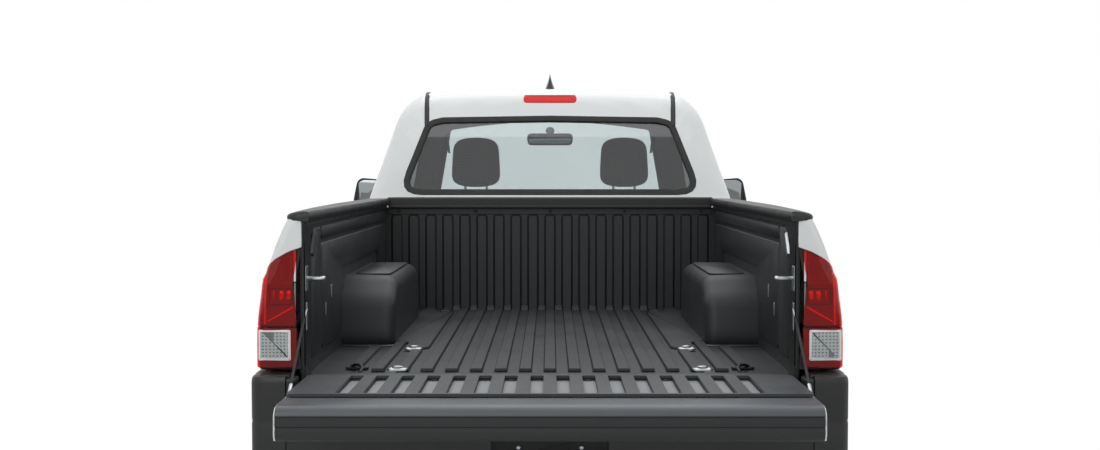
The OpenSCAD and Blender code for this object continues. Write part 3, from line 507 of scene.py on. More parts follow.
# The flat back wall below the window, behind the seats, is a plain pressing that faces the bed
pressing("cab_back_wall", [(-800, 470), (800, 470), (790, 1275), (-790, 1275)], [],
    lambda u, v: spots(u, 2409 - 20 * smooth((v - 1150) / 160) - 24 * smooth((v - 1190) / 100), v), "truck",
    white_enamel, headliner, step=60, thick=18, edge=3)


# ---------------------------------------------------------------- doors
# Each door is an outer skin folded over a deeper inner frame, with a card of grained trim inside.
# The front pair hang on the front posts, the rear half-doors on the rear posts.
def mirrored(points, flip):
    return np.asarray(points, float) * ([-1, 1, 1] if flip else [1, 1, 1])


def tube(name, path, radius, body, *materials, closed=False, sides=10, flat=1.0, slot=None, up=(0, 0, 1)):
    """A round or flattened bar swept along millimetre points, with rounded ends where it is open."""
    path = np.asarray(path, float)
    radius = np.broadcast_to(np.asarray(radius, float), (len(path),)).copy()
    if not closed:
        a, b = unit((path[0] - path[1])[None])[0], unit((path[-1] - path[-2])[None])[0]
        path = np.concatenate([[path[0] + a * radius[0] * 0.7, path[0] + a * radius[0] * 0.5], path,
            [path[-1] + b * radius[-1] * 0.5, path[-1] + b * radius[-1] * 0.7]])
        radius = np.concatenate([[radius[0] * 0.05, radius[0] * 0.7], radius,
            [radius[-1] * 0.7, radius[-1] * 0.05]])
    n = len(path)
    if closed:
        way = unit(np.roll(path, -1, axis=0) - np.roll(path, 1, axis=0))
    else:
        way = unit(np.gradient(path, axis=0))
    across = np.cross(way, np.asarray(up, float))
    bad = np.linalg.norm(across, axis=1) < 0.05
    across[bad] = np.cross(way[bad], [0, 1.0, 0.2])
    across = unit(across)
    rise = unit(np.cross(across, way))
    angles = np.arange(sides) * 2 * math.pi / sides
    rings = [path[i] + radius[i] * (np.cos(angles)[:, None] * across[i] + flat * np.sin(angles)[:,
        None] * rise[i]) for i in range(n)]
    faces = []
    for i in range(n if closed else n - 1):
        for j in range(sides):
            a, b = i * sides, ((i + 1) % n) * sides
            k = (j + 1) % sides
            faces.append((a + j, a + k, b + k, b + j))
    if not closed:
        faces += [tuple(range(sides))[::-1], tuple((n - 1) * sides + j for j in range(sides))]
    return piece(name, np.concatenate(rings), faces, body, *materials, sharp=50, slot=slot)


def lump(name, low, high, body, *materials, round_by=8, segments=3, shape=None, slot=None, flip=False):
    """A moulded block between two corners: its edges are rounded, and shape() may push its points about."""
    (x0, y0, z0), (x1, y1, z1) = low, high
    grid = [np.linspace(a, b, max(2, int(abs(b - a) // 40) + 1) if shape else 2) for a, b in ((x0, x1),
        (y0, y1), (z0, z1))]
    n = [len(g) for g in grid]
    index, points, faces = {}, [], []

    def corner(i, j, k):
        if (i, j, k) not in index:
            index[i, j, k] = len(points)
            points.append((grid[0][i], grid[1][j], grid[2][k]))
        return index[i, j, k]

    for axis in range(3):
        a, b = [t for t in range(3) if t != axis]
        for end in (0, n[axis] - 1):
            for i in range(n[a] - 1):
                for j in range(n[b] - 1):
                    quad = []
                    for di, dj in ((0, 0), (1, 0), (1, 1), (0, 1)):
                        spot = [0, 0, 0]
                        spot[axis], spot[a], spot[b] = end, i + di, j + dj
                        quad.append(corner(*spot))
                    if (end == 0) != (axis == 1):
                        quad = quad[::-1]
                    faces.append(tuple(quad))
    points = np.array(points, float)
    if shape:
        points = np.asarray(shape(points), float)
    points = mirrored(points, flip)
    if flip:
        faces = [f[::-1] for f in faces]
    made = piece(name, points, faces, body, *materials, slot=slot)
    soft = made.modifiers.new("edges", "BEVEL")
    soft.width, soft.segments = round_by / 1000, segments
    soft.limit_method, soft.harden_normals = "ANGLE", True
    soft.angle_limit = math.radians(32)
    return made


# Extruded rubber seals, matt black, round every pane and door edge
rubber_seal = finish("extruded_rubber_seal", "#101112", "#1b1c1d", 30, 4, 0.1, (0.55, 0.7), IOR=1.5)
# Grained polypropylene trim: leathery cells of about 5 mm, drawn coarse enough to show
trim_moulding = finish("grained_polypropylene_trim", "#232526", "#2e3031", 90, 5, 0.35, (0.45, 0.58),
    IOR=1.49)
# Injection-moulded black plastic outside: satin, with a fine grain
black_moulding = finish("grained_black_abs", "#131415", "#1d1e1f", 60, 4, 0.25, (0.38, 0.5), IOR=1.5)


def glass(name, tint, gloss=0.0):
    """Float glass: a thin smooth pane that lets light straight through, tinted, with sharp reflections."""
    made = bpy.data.materials.new(name)
    made.use_nodes = True
    tree = made.node_tree
    tree.nodes.clear()
    where = add(tree, "TexCoord").outputs["Object"]
    drift = add(tree, "TexNoise", {"Vector": where, "Scale": 3.0, "Detail": 1.0})
    tone = add(tree, "Mix", {"Factor": drift.outputs["Fac"], 6: srgb(tint[0]), 7: srgb(tint[1])},
        data_type="RGBA")
    clear = add(tree, "BsdfTransparent", {"Color": tone.outputs[2]})
    shine = add(tree, "BsdfGlossy", {"Color": (1, 1, 1, 1), "Roughness": 0.02})
    facing = add(tree, "LayerWeight", {"Blend": 0.5})
    rise = add(tree, "Math", {0: facing.outputs["Facing"], 1: 5.0}, operation="POWER")
    share = add(tree, "MapRange", {"Value": rise.outputs[0], "To Min": 0.03 + gloss, "To Max": 0.9})
    both = add(tree, "MixShader", {0: share.outputs[0], 1: clear.outputs[0], 2: shine.outputs[0]})
    add(tree, "OutputMaterial", {"Surface": both.outputs[0]})
    return made


# Laminated windscreen and tempered front panes have a faint green-grey cast
clear_pane = glass("clear_float_glass", ("#f4f8f7", "#f8fbfa"))
# Privacy glass behind the front seats is dyed dark grey in the melt
dark_pane = glass("dyed_privacy_glass", ("#e0e4e6", "#e6eaeb"), gloss=0.02)
# Silvered mirror glass: a bright metal film behind a flat pane
mirror_pane = finish("silvered_mirror_glass", "#8d9294", "#9aa0a2", 200, 200, 0.0, (0.03, 0.05),
    Metallic=1.0)


def flat_side(depth=0):
    """The side surface of doors and panes, depth mm in."""
    return lambda u, v: spots(side(u, v) - depth, u, v)


def shrunk(loop, by, radius):
    """An outline drawn in by some mm, with rounded corners."""
    loop = np.asarray(loop, float)
    if turned(loop) < 0:
        loop = loop[::-1]
    out = []
    for a, b, c in zip(np.roll(loop, 1, axis=0), loop, np.roll(loop, -1, axis=0)):
        p, q = (b - a) / np.hypot(*(b - a)), (c - b) / np.hypot(*(c - b))
        n1, n2 = np.array([-p[1], p[0]]), np.array([-q[1], q[0]])
        m = n1 + n2
        out.append(b + m * by / max(0.3, (m @ n1)))
    return rounded(out, radius) if radius else np.array(out)


both_sides = (("left", False), ("right", True))
for wing, flip in both_sides:
    for end, frame_line, pane in (("front", front_door, front_pane), ("rear", rear_door, rear_pane)):
        body = f"{wing}_{end}_door"
        edge_line = shrunk(frame_line, 3, 9 if end == "front" else 14)
        hole = rounded(pane, 28)
        sheet = pressing(f"door_{end}_{wing}_skin", edge_line, [hole], flat_side(), body, white_enamel,
            grey_primer, step=34, thick=8, edge=3, flip=flip, slot="body_paint")
        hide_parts(f"door_{end}_{wing}")
        pressing(f"door_{end}_{wing}_frame", shrunk(frame_line, 28, 20), [hole], flat_side(7.5), body,
            white_enamel, trim_moulding, step=60, thick=34, edge=3, flip=flip)
        y0, y1 = (660, 1640) if end == "front" else (1712, 2160)
        card = [(y0, 545), (y0, 1180), (y0 + 70 if end == "front" else y0, 1246), (y1, 1246), (y1, 545)]
        pressing(f"door_{end}_{wing}_card", rounded(card, 40), [], flat_side(90), body, trim_moulding,
            trim_moulding, step=50, thick=-48, edge=-12, flip=flip, slot="trim_grey")
        seal = divided(hole, 25)
        tube(f"door_{end}_{wing}_pane_seal", mirrored(spots(side(seal[:, 0], seal[:, 1]) - 11, seal[:, 0],
            seal[:, 1]), flip), 8, body, rubber_seal, closed=True, sides=8, flat=0.9)
        seal = divided(shrunk(frame_line, 24, 24), 40)
        tube(f"door_{end}_{wing}_frame_seal", mirrored(spots(side(seal[:, 0], seal[:, 1]) - 22, seal[:, 0],
            seal[:, 1]), flip), 7, body, rubber_seal, closed=True, sides=8)
        window = pressing(f"glass_{end}_{wing}_pane", shrunk(pane, -4, 26), [], flat_side(18.5), body,
            clear_pane if end == "front" else dark_pane, clear_pane if end == "front" else dark_pane,
            step=80, thick=4, edge=0.5, flip=flip, slot="clear_glass" if end == "front" else "tinted_glass")
        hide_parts(f"glass_{end}_{wing}")
        # Satin black belt moulding along the sill of the pane
        y = np.linspace(800 if end == "front" else 1700, 1660 if end == "front" else 2176, 24)
        tube(f"door_{end}_{wing}_belt_moulding", mirrored(spots(side(y, 1256) + 0.5, y, np.full(24, 1256)),
            flip), 7, body, black_moulding, sides=8, flat=1.3)
        # Armrest and pull cup on the card
        lump(f"door_{end}_{wing}_armrest", (side(1300, 950) - 152, y0 + 120, 905), (side(1300, 950) - 84,
            y1 - 90, 965), body, trim_moulding, round_by=16, segments=4, flip=flip)
    # Black film on the door post between the two panes
    for end, (a, b) in (("front", (1640, 1669)), ("rear", (1683, 1730))):
        pressing(f"post_film_{end}_{wing}", [(a, 1270), (b, 1270), (b, 1640), (a, 1636)], [],
            flat_side(-0.6), f"{wing}_{end}_door", black_moulding, black_moulding, step=60, thick=0.5,
            edge=0.3, flip=flip)


# ---------------------------------------------------------------- hood
# One wide pressing with two long creases, hinged below its rear corners and held by a prop.
def hood_middle(y):
    t = (430 - y) / 1200
    return 1180 - 60 * t - 85 * t ** 4


def nose_section(y):
    """Control points of the shoulder curve from the fender's side to the hood's edge, in x and z."""
    low = hood_middle(y) - 150
    return side(y, low), side(y, low + 90), low


def nose_z(x, y):
    """Height of the nose's skin."""
    u = np.abs(x)
    a, b, low = nose_section(y)
    qa, qb = a - 2 * b + 600, 2 * (b - a)
    k = np.clip((-qb - np.sqrt(np.maximum(0, qb * qb - 4 * qa * (a - u)))) / (2 * qa), 0, 1)
    mid = hood_middle(y)
    out = (1 - k) ** 2 * low + 2 * k * (1 - k) * (mid - 42) + k * k * (mid - 38)
    dome = 9 * smooth((330 - u) / 60) * smooth((y + 770) / 500)
    return np.where(u <= 600, mid - 38 * (u / 600) ** 2, out) + dome - 3


def hood_half(y):
    return 690 + 0.06 * (y - 430)


def hood_rear(u):
    return 430 + 110 * np.abs(u) ** 2.2


def fender_place(u, v):
    """Left fender skin: u runs along the truck, v goes up the side and on over the shoulder."""
    y = np.minimum(u, 560)
    a, b, low = nose_section(y)
    k = np.clip((v - low) / 230, 0, 1)
    mid = hood_middle(y)
    x = (1 - k) ** 2 * a + 2 * k * (1 - k) * b + k * k * 600
    z = (1 - k) ** 2 * low + 2 * k * (1 - k) * (mid - 42) + k * k * (mid - 38)
    over = v > low
    return spots(np.where(over, x - side(y, low) + side(u, low), side(u, v)), u, np.where(over, z - 3 * k,
        v))


across = np.linspace(-1, 1, 41)
front_y = -775 + 95 * np.abs(across) ** 3
loop = [(u * hood_half(f), f) for u, f in zip(across, front_y)]
loop += [(hood_half(y), y) for y in np.linspace(-660, 520, 30)]
loop += [(u * hood_half(hood_rear(u)), hood_rear(u)) for u in across[::-1]]
loop += [(-hood_half(y), y) for y in np.linspace(520, -660, 30)]
lid = pressing("hood_panel", loop, [], lambda u, v: spots(u, v, nose_z(u, v)), "hood", white_enamel,
    grey_primer, step=38, thick=12, edge=4, slot="body_paint")
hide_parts("hood")


def oblong(x0, y0, x1, y1):
    """The four corners of a square-cornered outline."""
    return [(x0, y0), (x1, y0), (x1, y1), (x0, y1)]


# Stiffening frame glued under the hood skin, pressed in one grid of channels
ribs = [(-560, -640), (560, -640), (600, 380), (-600, 380)]
holes = [oblong(x0, y0, x1, y1) for x0, x1 in ((-500, -40), (40, 500)) for y0, y1 in ((-570, -330),
    (-270, -10), (50, 310))]
pressing("hood_inner_frame", rounded(ribs, 60), [rounded(h, 60) for h in holes],
    lambda u, v: spots(u, v, nose_z(u, v) - 13), "hood", grey_primer, grey_primer, step=60, thick=16, edge=4)


# ---------------------------------------------------------------- front fenders
# Each fender is bolted on round its wheel arch, under the hood's edge and behind the headlamp.
def fender_edge(y):
    """How far up the shoulder the fender's skin runs at y: to a narrow gap beside the hood."""
    y = np.minimum(y, 560)
    a, b, low = nose_section(y)
    want = hood_half(y) + 7
    qa, qb = a - 2 * b + 600, 2 * (b - a)
    k = (-qb - np.sqrt(np.maximum(0, qb * qb - 4 * qa * (a - want)))) / (2 * qa)
    return low + 230 * k


arch = [(445 * math.cos(a), axle_z + 445 * math.sin(a)) for a in np.linspace(math.radians(8),
    math.radians(157), 40)]
lamp_plan = np.array([(1 - t) ** 2 * np.array([500, -797]) + 2 * t * (1 - t) *
    np.array([float(side(-700, 870)) - 12, -756]) + t * t * np.array([float(side(-447, 870)) - 2, -449])
    for t in np.linspace(0, 1, 25)])


def shoulder_at(y, x):
    """The unrolled height at which the fender's shoulder passes a distance x from the middle line."""
    a, b, low = nose_section(y)
    k = np.linspace(0, 1, 400)
    reach = (1 - k) ** 2 * a + 2 * k * (1 - k) * b + k * k * 600
    return float(low + 230 * np.interp(-x, -reach, k))


loop = [(613, 480), (613, float(fender_edge(613)))]
tip = [p for p in lamp_plan if p[0] > hood_half(p[1]) + 12]
loop += [(y, float(fender_edge(y))) for y in np.linspace(580, tip[0][1] + 14, 40)]
loop += [(y + 8, shoulder_at(y + 8, x)) for x, y in tip]
loop += [(-440, 880), (-440, 780), (-440, 640)] + arch[::-1][2:] + [(444, 480)]
for wing, flip in both_sides:
    wing_sheet = pressing(f"front_fender_{wing}", loop, [], fender_place, "truck", white_enamel, grey_primer,
        step=32, thick=12, edge=4, flip=flip, slot="body_paint")
    if not flip:
        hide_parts("front_fenders")
# White flange that turns down from the fender and hood to the headlamp's upper edge
for wing, flip in both_sides:
    rows = []
    for x, y in lamp_plan:
        high = float(nose_z(x, y + 8)) - 8 if x < float(side(y, 900)) - 6 else 985
        rows.append([(x, y + 8, z) for z in np.linspace(max(high, 972), 958, 4)])
    rows = np.array(rows)
    rows[:, 0, 1] += 10
    flange = mirrored(rows.reshape(-1, 3), flip)
    faces = [(j * 4 + i, j * 4 + i + 1, (j + 1) * 4 + i + 1, (j + 1) * 4 + i) for j in range(len(rows) - 1)
        for i in range(3)]
    piece(f"lamp_flange_{wing}", flange, faces, "truck", white_enamel, sharp=50)


# ---------------------------------------------------------------- bed sides
# Each side is one deep-drawn steel panel from the cab gap to the rear corner, painted with the cab.
# Its flanged wheel arch, the lamp opening and the folded rear corner are pressed in one piece.
corner_y, corner_r, jamb_x = 4366, 28, 712


def bed_wrap(out=0):
    """The bed side's surface: u runs rearwards, round the corner and inwards across the rear face."""
    def at(u, v):
        s = np.maximum(u - corner_y, 0)
        a = np.clip(s / corner_r, 0, math.pi / 2)
        x = flank(np.minimum(u, corner_y), v) - corner_r * (1 - np.cos(a)) - np.maximum(s - corner_r *
            math.pi / 2, 0)
        y = np.minimum(u, corner_y) + corner_r * np.sin(a)
        return spots(x + out * np.cos(a), y + out * np.sin(a), v)
    return at


def rear_u(x, v):
    """Where a point x from the middle line lies on the rear face, in the side's own unrolled length."""
    return float(corner_y + corner_r * math.pi / 2 + flank(corner_y, v) - corner_r - x)


rear_arch = [(wheelbase + 445 * math.cos(a), axle_z + 445 * math.sin(a))
    for a in np.radians(np.linspace(157, 23, 44))]
lamp_top = [(4222, 1096), (4290, 1103), (4345, 1113), (4378, 1128), (4400, 1148), (4430, 1168),
    (rear_u(jamb_x, 1180), 1180)]
loop = [(2446, 1266), (2446, 560)] + rear_arch + [(4188, 640), (4198, 830), (4220, 836)] + lamp_top
loop += [(rear_u(jamb_x, z), z) for z in (1200, 1230, 1266)]
for wing, flip in both_sides:
    side_sheet = pressing(f"bed_side_{wing}", loop, [], bed_wrap(), "truck", white_enamel, grey_primer,
        step=30, thick=14, edge=3, flip=flip, slot="body_paint")
    if not flip:
        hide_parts("bed_sides")
# Fuel filler flap on the left side, held by a hidden spring hinge, in its own narrow shadow line
flap = rounded(oblong(2560, 930, 2740, 1085), 34)
pressing("fuel_flap_shadow", shrunk(flap, -3.5, 0), [], lambda u, v: spots(flank(u, v), u, v) + [0.2, 0, 0],
    "truck", rubber_seal, rubber_seal, step=30, thick=0.5, edge=0.2)
pressing("fuel_flap", flap, [], lambda u, v: spots(flank(u, v) + 1.2, u, v), "truck", white_enamel,
    white_enamel, step=20, thick=1, edge=2)


# ---------------------------------------------------------------- wheel arch liners
# Thermoformed black polypropylene shells, clipped under each arch to keep stones off the sheet metal.
def grid_piece(name, us, vs, place, body, *materials, slot=None, sharp=40, flip=False, close=False):
    """A moulding laid out as a grid of lines us across lines vs; close joins the last line to the first."""
    u, v = np.meshgrid(np.asarray(us, float), np.asarray(vs, float))
    nv, nu = u.shape
    points = np.asarray(place(u.ravel(), v.ravel()), float)
    faces = []
    for j in range(nv - 1):
        for i in range(nu if close else nu - 1):
            a, b = j * nu + i, j * nu + (i + 1) % nu
            faces.append((a, b, b + nu, a + nu))
    if flip:
        points, faces = points * [-1, 1, 1], [f[::-1] for f in faces]
    return piece(name, points, faces, body, *materials, sharp=sharp, slot=slot)


# Thermoformed liner sheet: dull black with a pebbled grain
liner_sheet = finish("thermoformed_black_liner", "#161718", "#202122", 80, 6, 0.5, (0.6, 0.75), IOR=1.49)
for end, axle in (("front", 0), ("rear", wheelbase)):
    for wing, flip in both_sides:
        def arch_place(u, v, axle=axle):
            r = 447 + 10 * smooth((840 - v) / 60)
            out = np.where(v > 830, flank(axle + r * np.cos(u), np.maximum(axle_z + r * np.sin(u), 560)) -
                10, v)
            return spots(out, axle + r * np.cos(u), axle_z + r * np.sin(u))
        grid_piece(f"arch_liner_{end}_{wing}", np.radians(np.linspace(172, 8, 34)), (560, 640, 720, 780, 820,
            831), arch_place, "truck", liner_sheet, flip=flip)


# ---------------------------------------------------------------- load bed
# A drop-in tub moulded from one sheet of polyethylene: ribs run along the floor and up the headboard.
# Its side walls carry stiffening panels and its wheel housings stand proud as rounded boxes.
def pads(name, loops, profile, place, body, *materials, walls=(), slot=None, flip=False, sharp=38, cap=True):
    """Raised or sunken fields: each outline is drawn in and lifted ring by ring, as profile (in, up) says.
    Rings in walls take the second material."""
    points, faces, slots = [], [], []
    for loop in loops:
        loop = np.asarray(loop, float)
        if turned(loop) < 0:
            loop = loop[::-1]
        n, start = len(loop), len(points)
        for by, up in profile:
            ring = shrunk(loop, by, 0) if by else loop
            points += list(np.asarray(place(ring[:, 0], ring[:, 1], np.full(n, float(up))), float))
        for k in range(len(profile) - 1):
            for i in range(n):
                a, b = start + k * n + i, start + k * n + (i + 1) % n
                faces.append((a, b, b + n, a + n))
                slots.append(1 if k in walls else 0)
        if cap:
            faces.append(tuple(start + (len(profile) - 1) * n + i for i in range(n)))
            slots.append(0)
    points = np.array(points)
    if flip:
        points, faces = points * [-1, 1, 1], [f[::-1] for f in faces]
    return piece(name, points, faces, body, *materials, slots=slots, sharp=sharp, slot=slot)


bed_floor_z, headboard_y, bed_wall_x = 801.0, 2461.0, 711.0


def on_floor(u, v, up):
    return spots(u, v, bed_floor_z + up)


def on_headboard(u, v, up):
    return spots(u, headboard_y + up, v)


def on_wall(u, v, up):
    return spots(bed_wall_x - up, u, v)


# Textured polyethylene liner: charcoal, fine sandy grain, soft sheen where it faces the sky
bed_liner = finish("textured_polyethylene_liner", "#232527", "#2d2f32", 260, 4, 0.22, (0.42, 0.56), IOR=1.5)
# Painted shade: a near-black given to the steep sides of the ribs and to the walls of recesses, slots and
# gaps, where shade falls
painted_shade_black = finish("shaded_liner_rib_side", "#08090a", "#0e0f10", 200, 5, 0.2, (0.6, 0.7), IOR=1.5)
rib_pitch, rib_half = 73.3, 19.5
tub = grid_piece("bed_floor_pan", np.linspace(-712, 712, 9), np.linspace(2460, 4341, 12),
    lambda u, v: spots(u, v, np.where(v > 4340, 790, bed_floor_z)), "truck", bed_liner, slot="liner")
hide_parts("bed_tub")


def rib_line(i, y0, y1):
    x = i * rib_pitch
    return oblong(x - rib_half, y0, x + rib_half, y1)


floor_ribs = [rib_line(i, 2463, 4250) for i in range(-5, 6)]
for i in (-1, 1):
    floor_ribs += [rib_line(6 * i, 2463, 2600), rib_line(6 * i, 3822, 4250), rib_line(7 * i, 3612, 4250),
        rib_line(8 * i, 3716, 4196)]
# The ribs' steep sides take the near-black painted shade.
pads("bed_floor_ribs", floor_ribs, [(0, -1), (0, 0), (2.2, 7.6), (3.6, 9)], on_floor, "truck", bed_liner,
    painted_shade_black, walls=(0, 1))
plateau = [(404, 2600), (418, 2642), (470, 2642), (492, 2463), (540, 2463), (540, 3590), (486, 3640),
    (486, 3760), (420, 3772), (404, 3745)]
for wing, flip in both_sides:
    pads(f"bed_floor_plateau_{wing}", [rounded(plateau, 14, 4)], [(0, -1), (0, 0), (2.2, 7.6), (3.6, 9)],
        on_floor, "truck", bed_liner, painted_shade_black, walls=(0, 1), flip=flip)
grid_piece("bed_headboard", np.linspace(-712, 712, 9), np.linspace(795, 1242, 8),
    lambda u, v: spots(u, np.full_like(u, headboard_y), v), "truck", bed_liner, flip=False)
# The headboard ribs' sides take the near-black painted shade too.
pads("bed_headboard_ribs", [rounded(oblong(i * rib_pitch - rib_half, 795, i * rib_pitch + rib_half, 1207),
    12, 4) for i in range(-9, 10)], [(-5.5, -1), (-5.5, 0), (1.2, 8), (3, 9.4)], on_headboard, "truck",
    bed_liner, painted_shade_black, walls=(0, 1), sharp=20)
# Small ramps where each channel of the floor turns up into the headboard
pads("bed_channel_ramps", [[((i + 0.5) * rib_pitch - 15, 2461), ((i + 0.5) * rib_pitch + 15, 2461),
    ((i + 0.5) * rib_pitch + 14, 2484), ((i + 0.5) * rib_pitch - 14, 2484)] for i in range(-6, 6)],
    [(0, 0), (1, 1)], lambda u, v, up: spots(u, v, bed_floor_z + (2484 - v) * 0.75 + up * 0.2), "truck",
    bed_liner)
# A flat strip closes the floor's rear end, over the joint line; its edge wall takes the near-black painted
# shade
pads("bed_floor_strip", [oblong(-640, 4300, 640, 4338)], [(0, -1), (0, 2), (2, 4)], on_floor, "truck",
    bed_liner, painted_shade_black, walls=(0,))
# Top strip of the headboard with its row of push pins; its edge wall takes the near-black painted shade
pads("bed_headboard_strip", [oblong(-700, 1212, 700, 1240)], [(0, -1), (0, 2), (1.5, 3.5)], on_headboard,
    "truck", bed_liner, painted_shade_black, walls=(0,))


def disc(name, centre, radius, profile, place, body, *materials, **more):
    """Round turned or moulded details: rings at (share of the radius, height)."""
    ring = [(centre[0] + radius * math.cos(a), centre[1] + radius * math.sin(a))
        for a in np.arange(20) * math.pi / 10]
    return pads(name, [ring], [(radius * (1 - r), up) for r, up in profile], place, body, *materials, **more)


# Push pins and screws: moulded nylon, dull black
nylon_pin = finish("moulded_nylon_pin", "#0d0e0f", "#151617", 10, 3, 0.1, (0.5, 0.6), IOR=1.53)
for i, x in enumerate((-650, -320, -2, 320, 650)):
    disc(f"headboard_pin_{i}", (x, 1227), 7.5, [(1, 2), (0.95, 6), (0.6, 8), (0.2, 8.4)], on_headboard,
        "truck", nylon_pin)
# Zinc-plated steel: bright, faintly mottled, slightly blue
zinc_plate = finish("bright_zinc_plated_steel", "#a7adb0", "#c3c9cc", 18, 3, 0.1, (0.28, 0.42), Metallic=1.0)
for wing, flip in both_sides:
    # Side walls: a plain sheet with stiffening panels left standing between fine grooves; the panels' and
    # the rail's edge walls take the near-black painted shade
    grid_piece(f"bed_wall_{wing}", np.linspace(2462, 4392, 14), np.linspace(795, 1262, 7),
        lambda u, v: spots(np.full_like(u, bed_wall_x), u, v), "truck", bed_liner, flip=flip)
    panels = [oblong(2500, 1186, 4070, 1228), [(2500, 845), (2720, 845), (2760, 1072), (3680, 1072),
        (3722, 845), (4070, 845), (4070, 1174), (2500, 1174)], [(4096, 840), (4262, 840), (4262, 1150),
        (4205, 1228), (4096, 1228)]]
    pads(f"bed_wall_panels_{wing}", [rounded(p, 16, 4) for p in panels], [(0, -1), (0, 0), (1.6, 4), (3, 5)],
        on_wall, "truck", bed_liner, painted_shade_black, walls=(0,), flip=flip)
    pads(f"bed_wall_rail_{wing}", [oblong(2462, 1236, 4340, 1262)], [(0, -1), (0, 6), (2, 10)], on_wall,
        "truck", bed_liner, painted_shade_black, walls=(0,), flip=flip)
    hump = rounded([(2762, 760), (2790, 960), (2880, 1034), (3560, 1034), (3650, 965), (3678, 760)], 90, 9)
    soft = [(4 + 42 * (1 - math.cos(a)), 138 + 42 * math.sin(a)) for a in np.linspace(0, math.pi / 2, 8)]
    pads(f"wheel_housing_{wing}", [hump], [(0, -4), (2, 60)] + soft, on_wall, "truck", bed_liner, flip=flip,
        sharp=50)
    # A shallow pressed field on top of each housing and a foot flange round its base
    pads(f"housing_field_{wing}", [rounded([(2930, 545 + 18), (3500, 563), (3500, 690), (2930, 690)], 30,
        5)], [(0, -1), (0.5, 1.5), (2, 2.6)], lambda u, v, up: spots(v, u, 1034.0 + up), "truck", bed_liner,
        flip=flip)
    foot = np.array([(712, 2752), (560, 2752), (530, 2760), (519, 2790), (519, 3650), (530, 3680),
        (560, 3688), (712, 3688)], float)
    tube(f"housing_flange_{wing}", mirrored(np.column_stack([foot, np.full(len(foot), 803)]), flip), 9,
        "truck", bed_liner, flat=0.5)
    # Tie-downs: plated cups with a folding loop, bolted through the floor into the cross members
    for i, (x, y) in enumerate(((452, 3800), (452, 4262), (640, 2500))):
        cup = oblong(x - 30, y - 17, x + 30, y + 17)
        pads(f"tie_down_cup_{i}_{wing}", [rounded(cup, 16, 6)], [(0, -1), (0.5, 4), (4, 6), (8, 6.5),
            (12, 3)], lambda u, v, up: on_floor(u, v, up + 6), "truck", zinc_plate, flip=flip)
        ring = [(x + 15 * math.cos(a), y + 9 * math.sin(a), 815 + 3 * math.sin(a))
            for a in np.arange(16) * math.pi / 8]
        tube(f"tie_down_ring_{i}_{wing}", mirrored(ring, flip), 3, "truck", zinc_plate, closed=True, sides=8)
    # Black rope loop at the rear end of the outermost rib
    hook = [(600, 4190, 806), (584, 4215, 816), (566, 4238, 818), (556, 4262, 812), (560, 4285, 804)]
    tube(f"rope_loop_{wing}", mirrored(hook, flip), 5, "truck", nylon_pin, sides=8)
    pads(f"rope_loop_foot_{wing}", [rounded([(545, 4190), (612, 4186), (616, 4206), (549, 4212)], 6, 4)],
        [(0, 0), (0, 5), (2, 7)], on_floor, "truck", nylon_pin, flip=flip)
    # Square-edged anchor slots low on the wall behind the housing; their inner walls take the near-black
    # painted shade
    for i, (y, z) in enumerate(((3900, 1010), (4010, 962))):
        slot_line = oblong(y - 6, z - 22, y + 6, z + 22)
        pads(f"wall_anchor_{i}_{wing}", [rounded(slot_line, 4, 4)], [(0, 4.5), (0, 8), (2.5, 8), (3, 3)],
            on_wall, "truck", zinc_plate, painted_shade_black, walls=(2,), flip=flip)


# ---------------------------------------------------------------- rail caps
# Injection-moulded black caps snap over the top flange of each bed side and over the headboard.
cap_y = np.concatenate([np.linspace(2442, 4366, 34), corner_y + corner_r * np.sin(np.linspace(0.2, 1.5, 6))])
for wing, flip in both_sides:
    edge_x = flank(np.minimum(cap_y, corner_y), 1262) - corner_r * (1 - np.sqrt(np.maximum(0,
        1 - (np.maximum(cap_y - corner_y, 0) / corner_r) ** 2)))
    ring = [(-4, 1254), (1.6, 1259), (2, 1266), (-1, 1271), (-8, 1275), (-24, 1279.5)]
    inner = [(700, 1281), (692, 1280), (688, 1275), (687, 1262), (690, 1252)]
    rows = []
    for y, x in zip(cap_y, edge_x):
        rows.append([(x + dx, y, z) for dx, z in ring] + [(px, y, z) for px, z in inner])
    rows = [[(rows[0][i][0], 2438.0, 1250 + (rows[0][i][2] - 1250) * 0.6) for i in range(11)]] + rows
    rows += [[(p[0] - 6 * (p[0] > 705), p[1] + 4, 1252 + (p[2] - 1252) * 0.55) for p in rows[-1]]]
    points = mirrored(np.array(rows).reshape(-1, 3), flip)
    faces = [(j * 11 + i, j * 11 + i + 1, (j + 1) * 11 + i + 1, (j + 1) * 11 + i)
        for j in range(len(rows) - 1) for i in range(10)]
    faces += [tuple(range(11)), tuple(range(len(rows) * 11 - 1, len(rows) * 11 - 12, -1))]
    rail = piece(f"rail_cap_{wing}", points, faces if not flip else [f[::-1] for f in faces], "truck",
        black_moulding, sharp=40, slot="black_plastic")
    if not flip:
        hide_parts("rail_caps")
lump("header_cap", (-700, 2442, 1247), (700, 2483, 1286), "truck", black_moulding, round_by=7, segments=4,
    slot="black_plastic")
lump("header_cap_lip", (-694, 2470, 1240), (694, 2486, 1252), "truck", black_moulding, round_by=3)


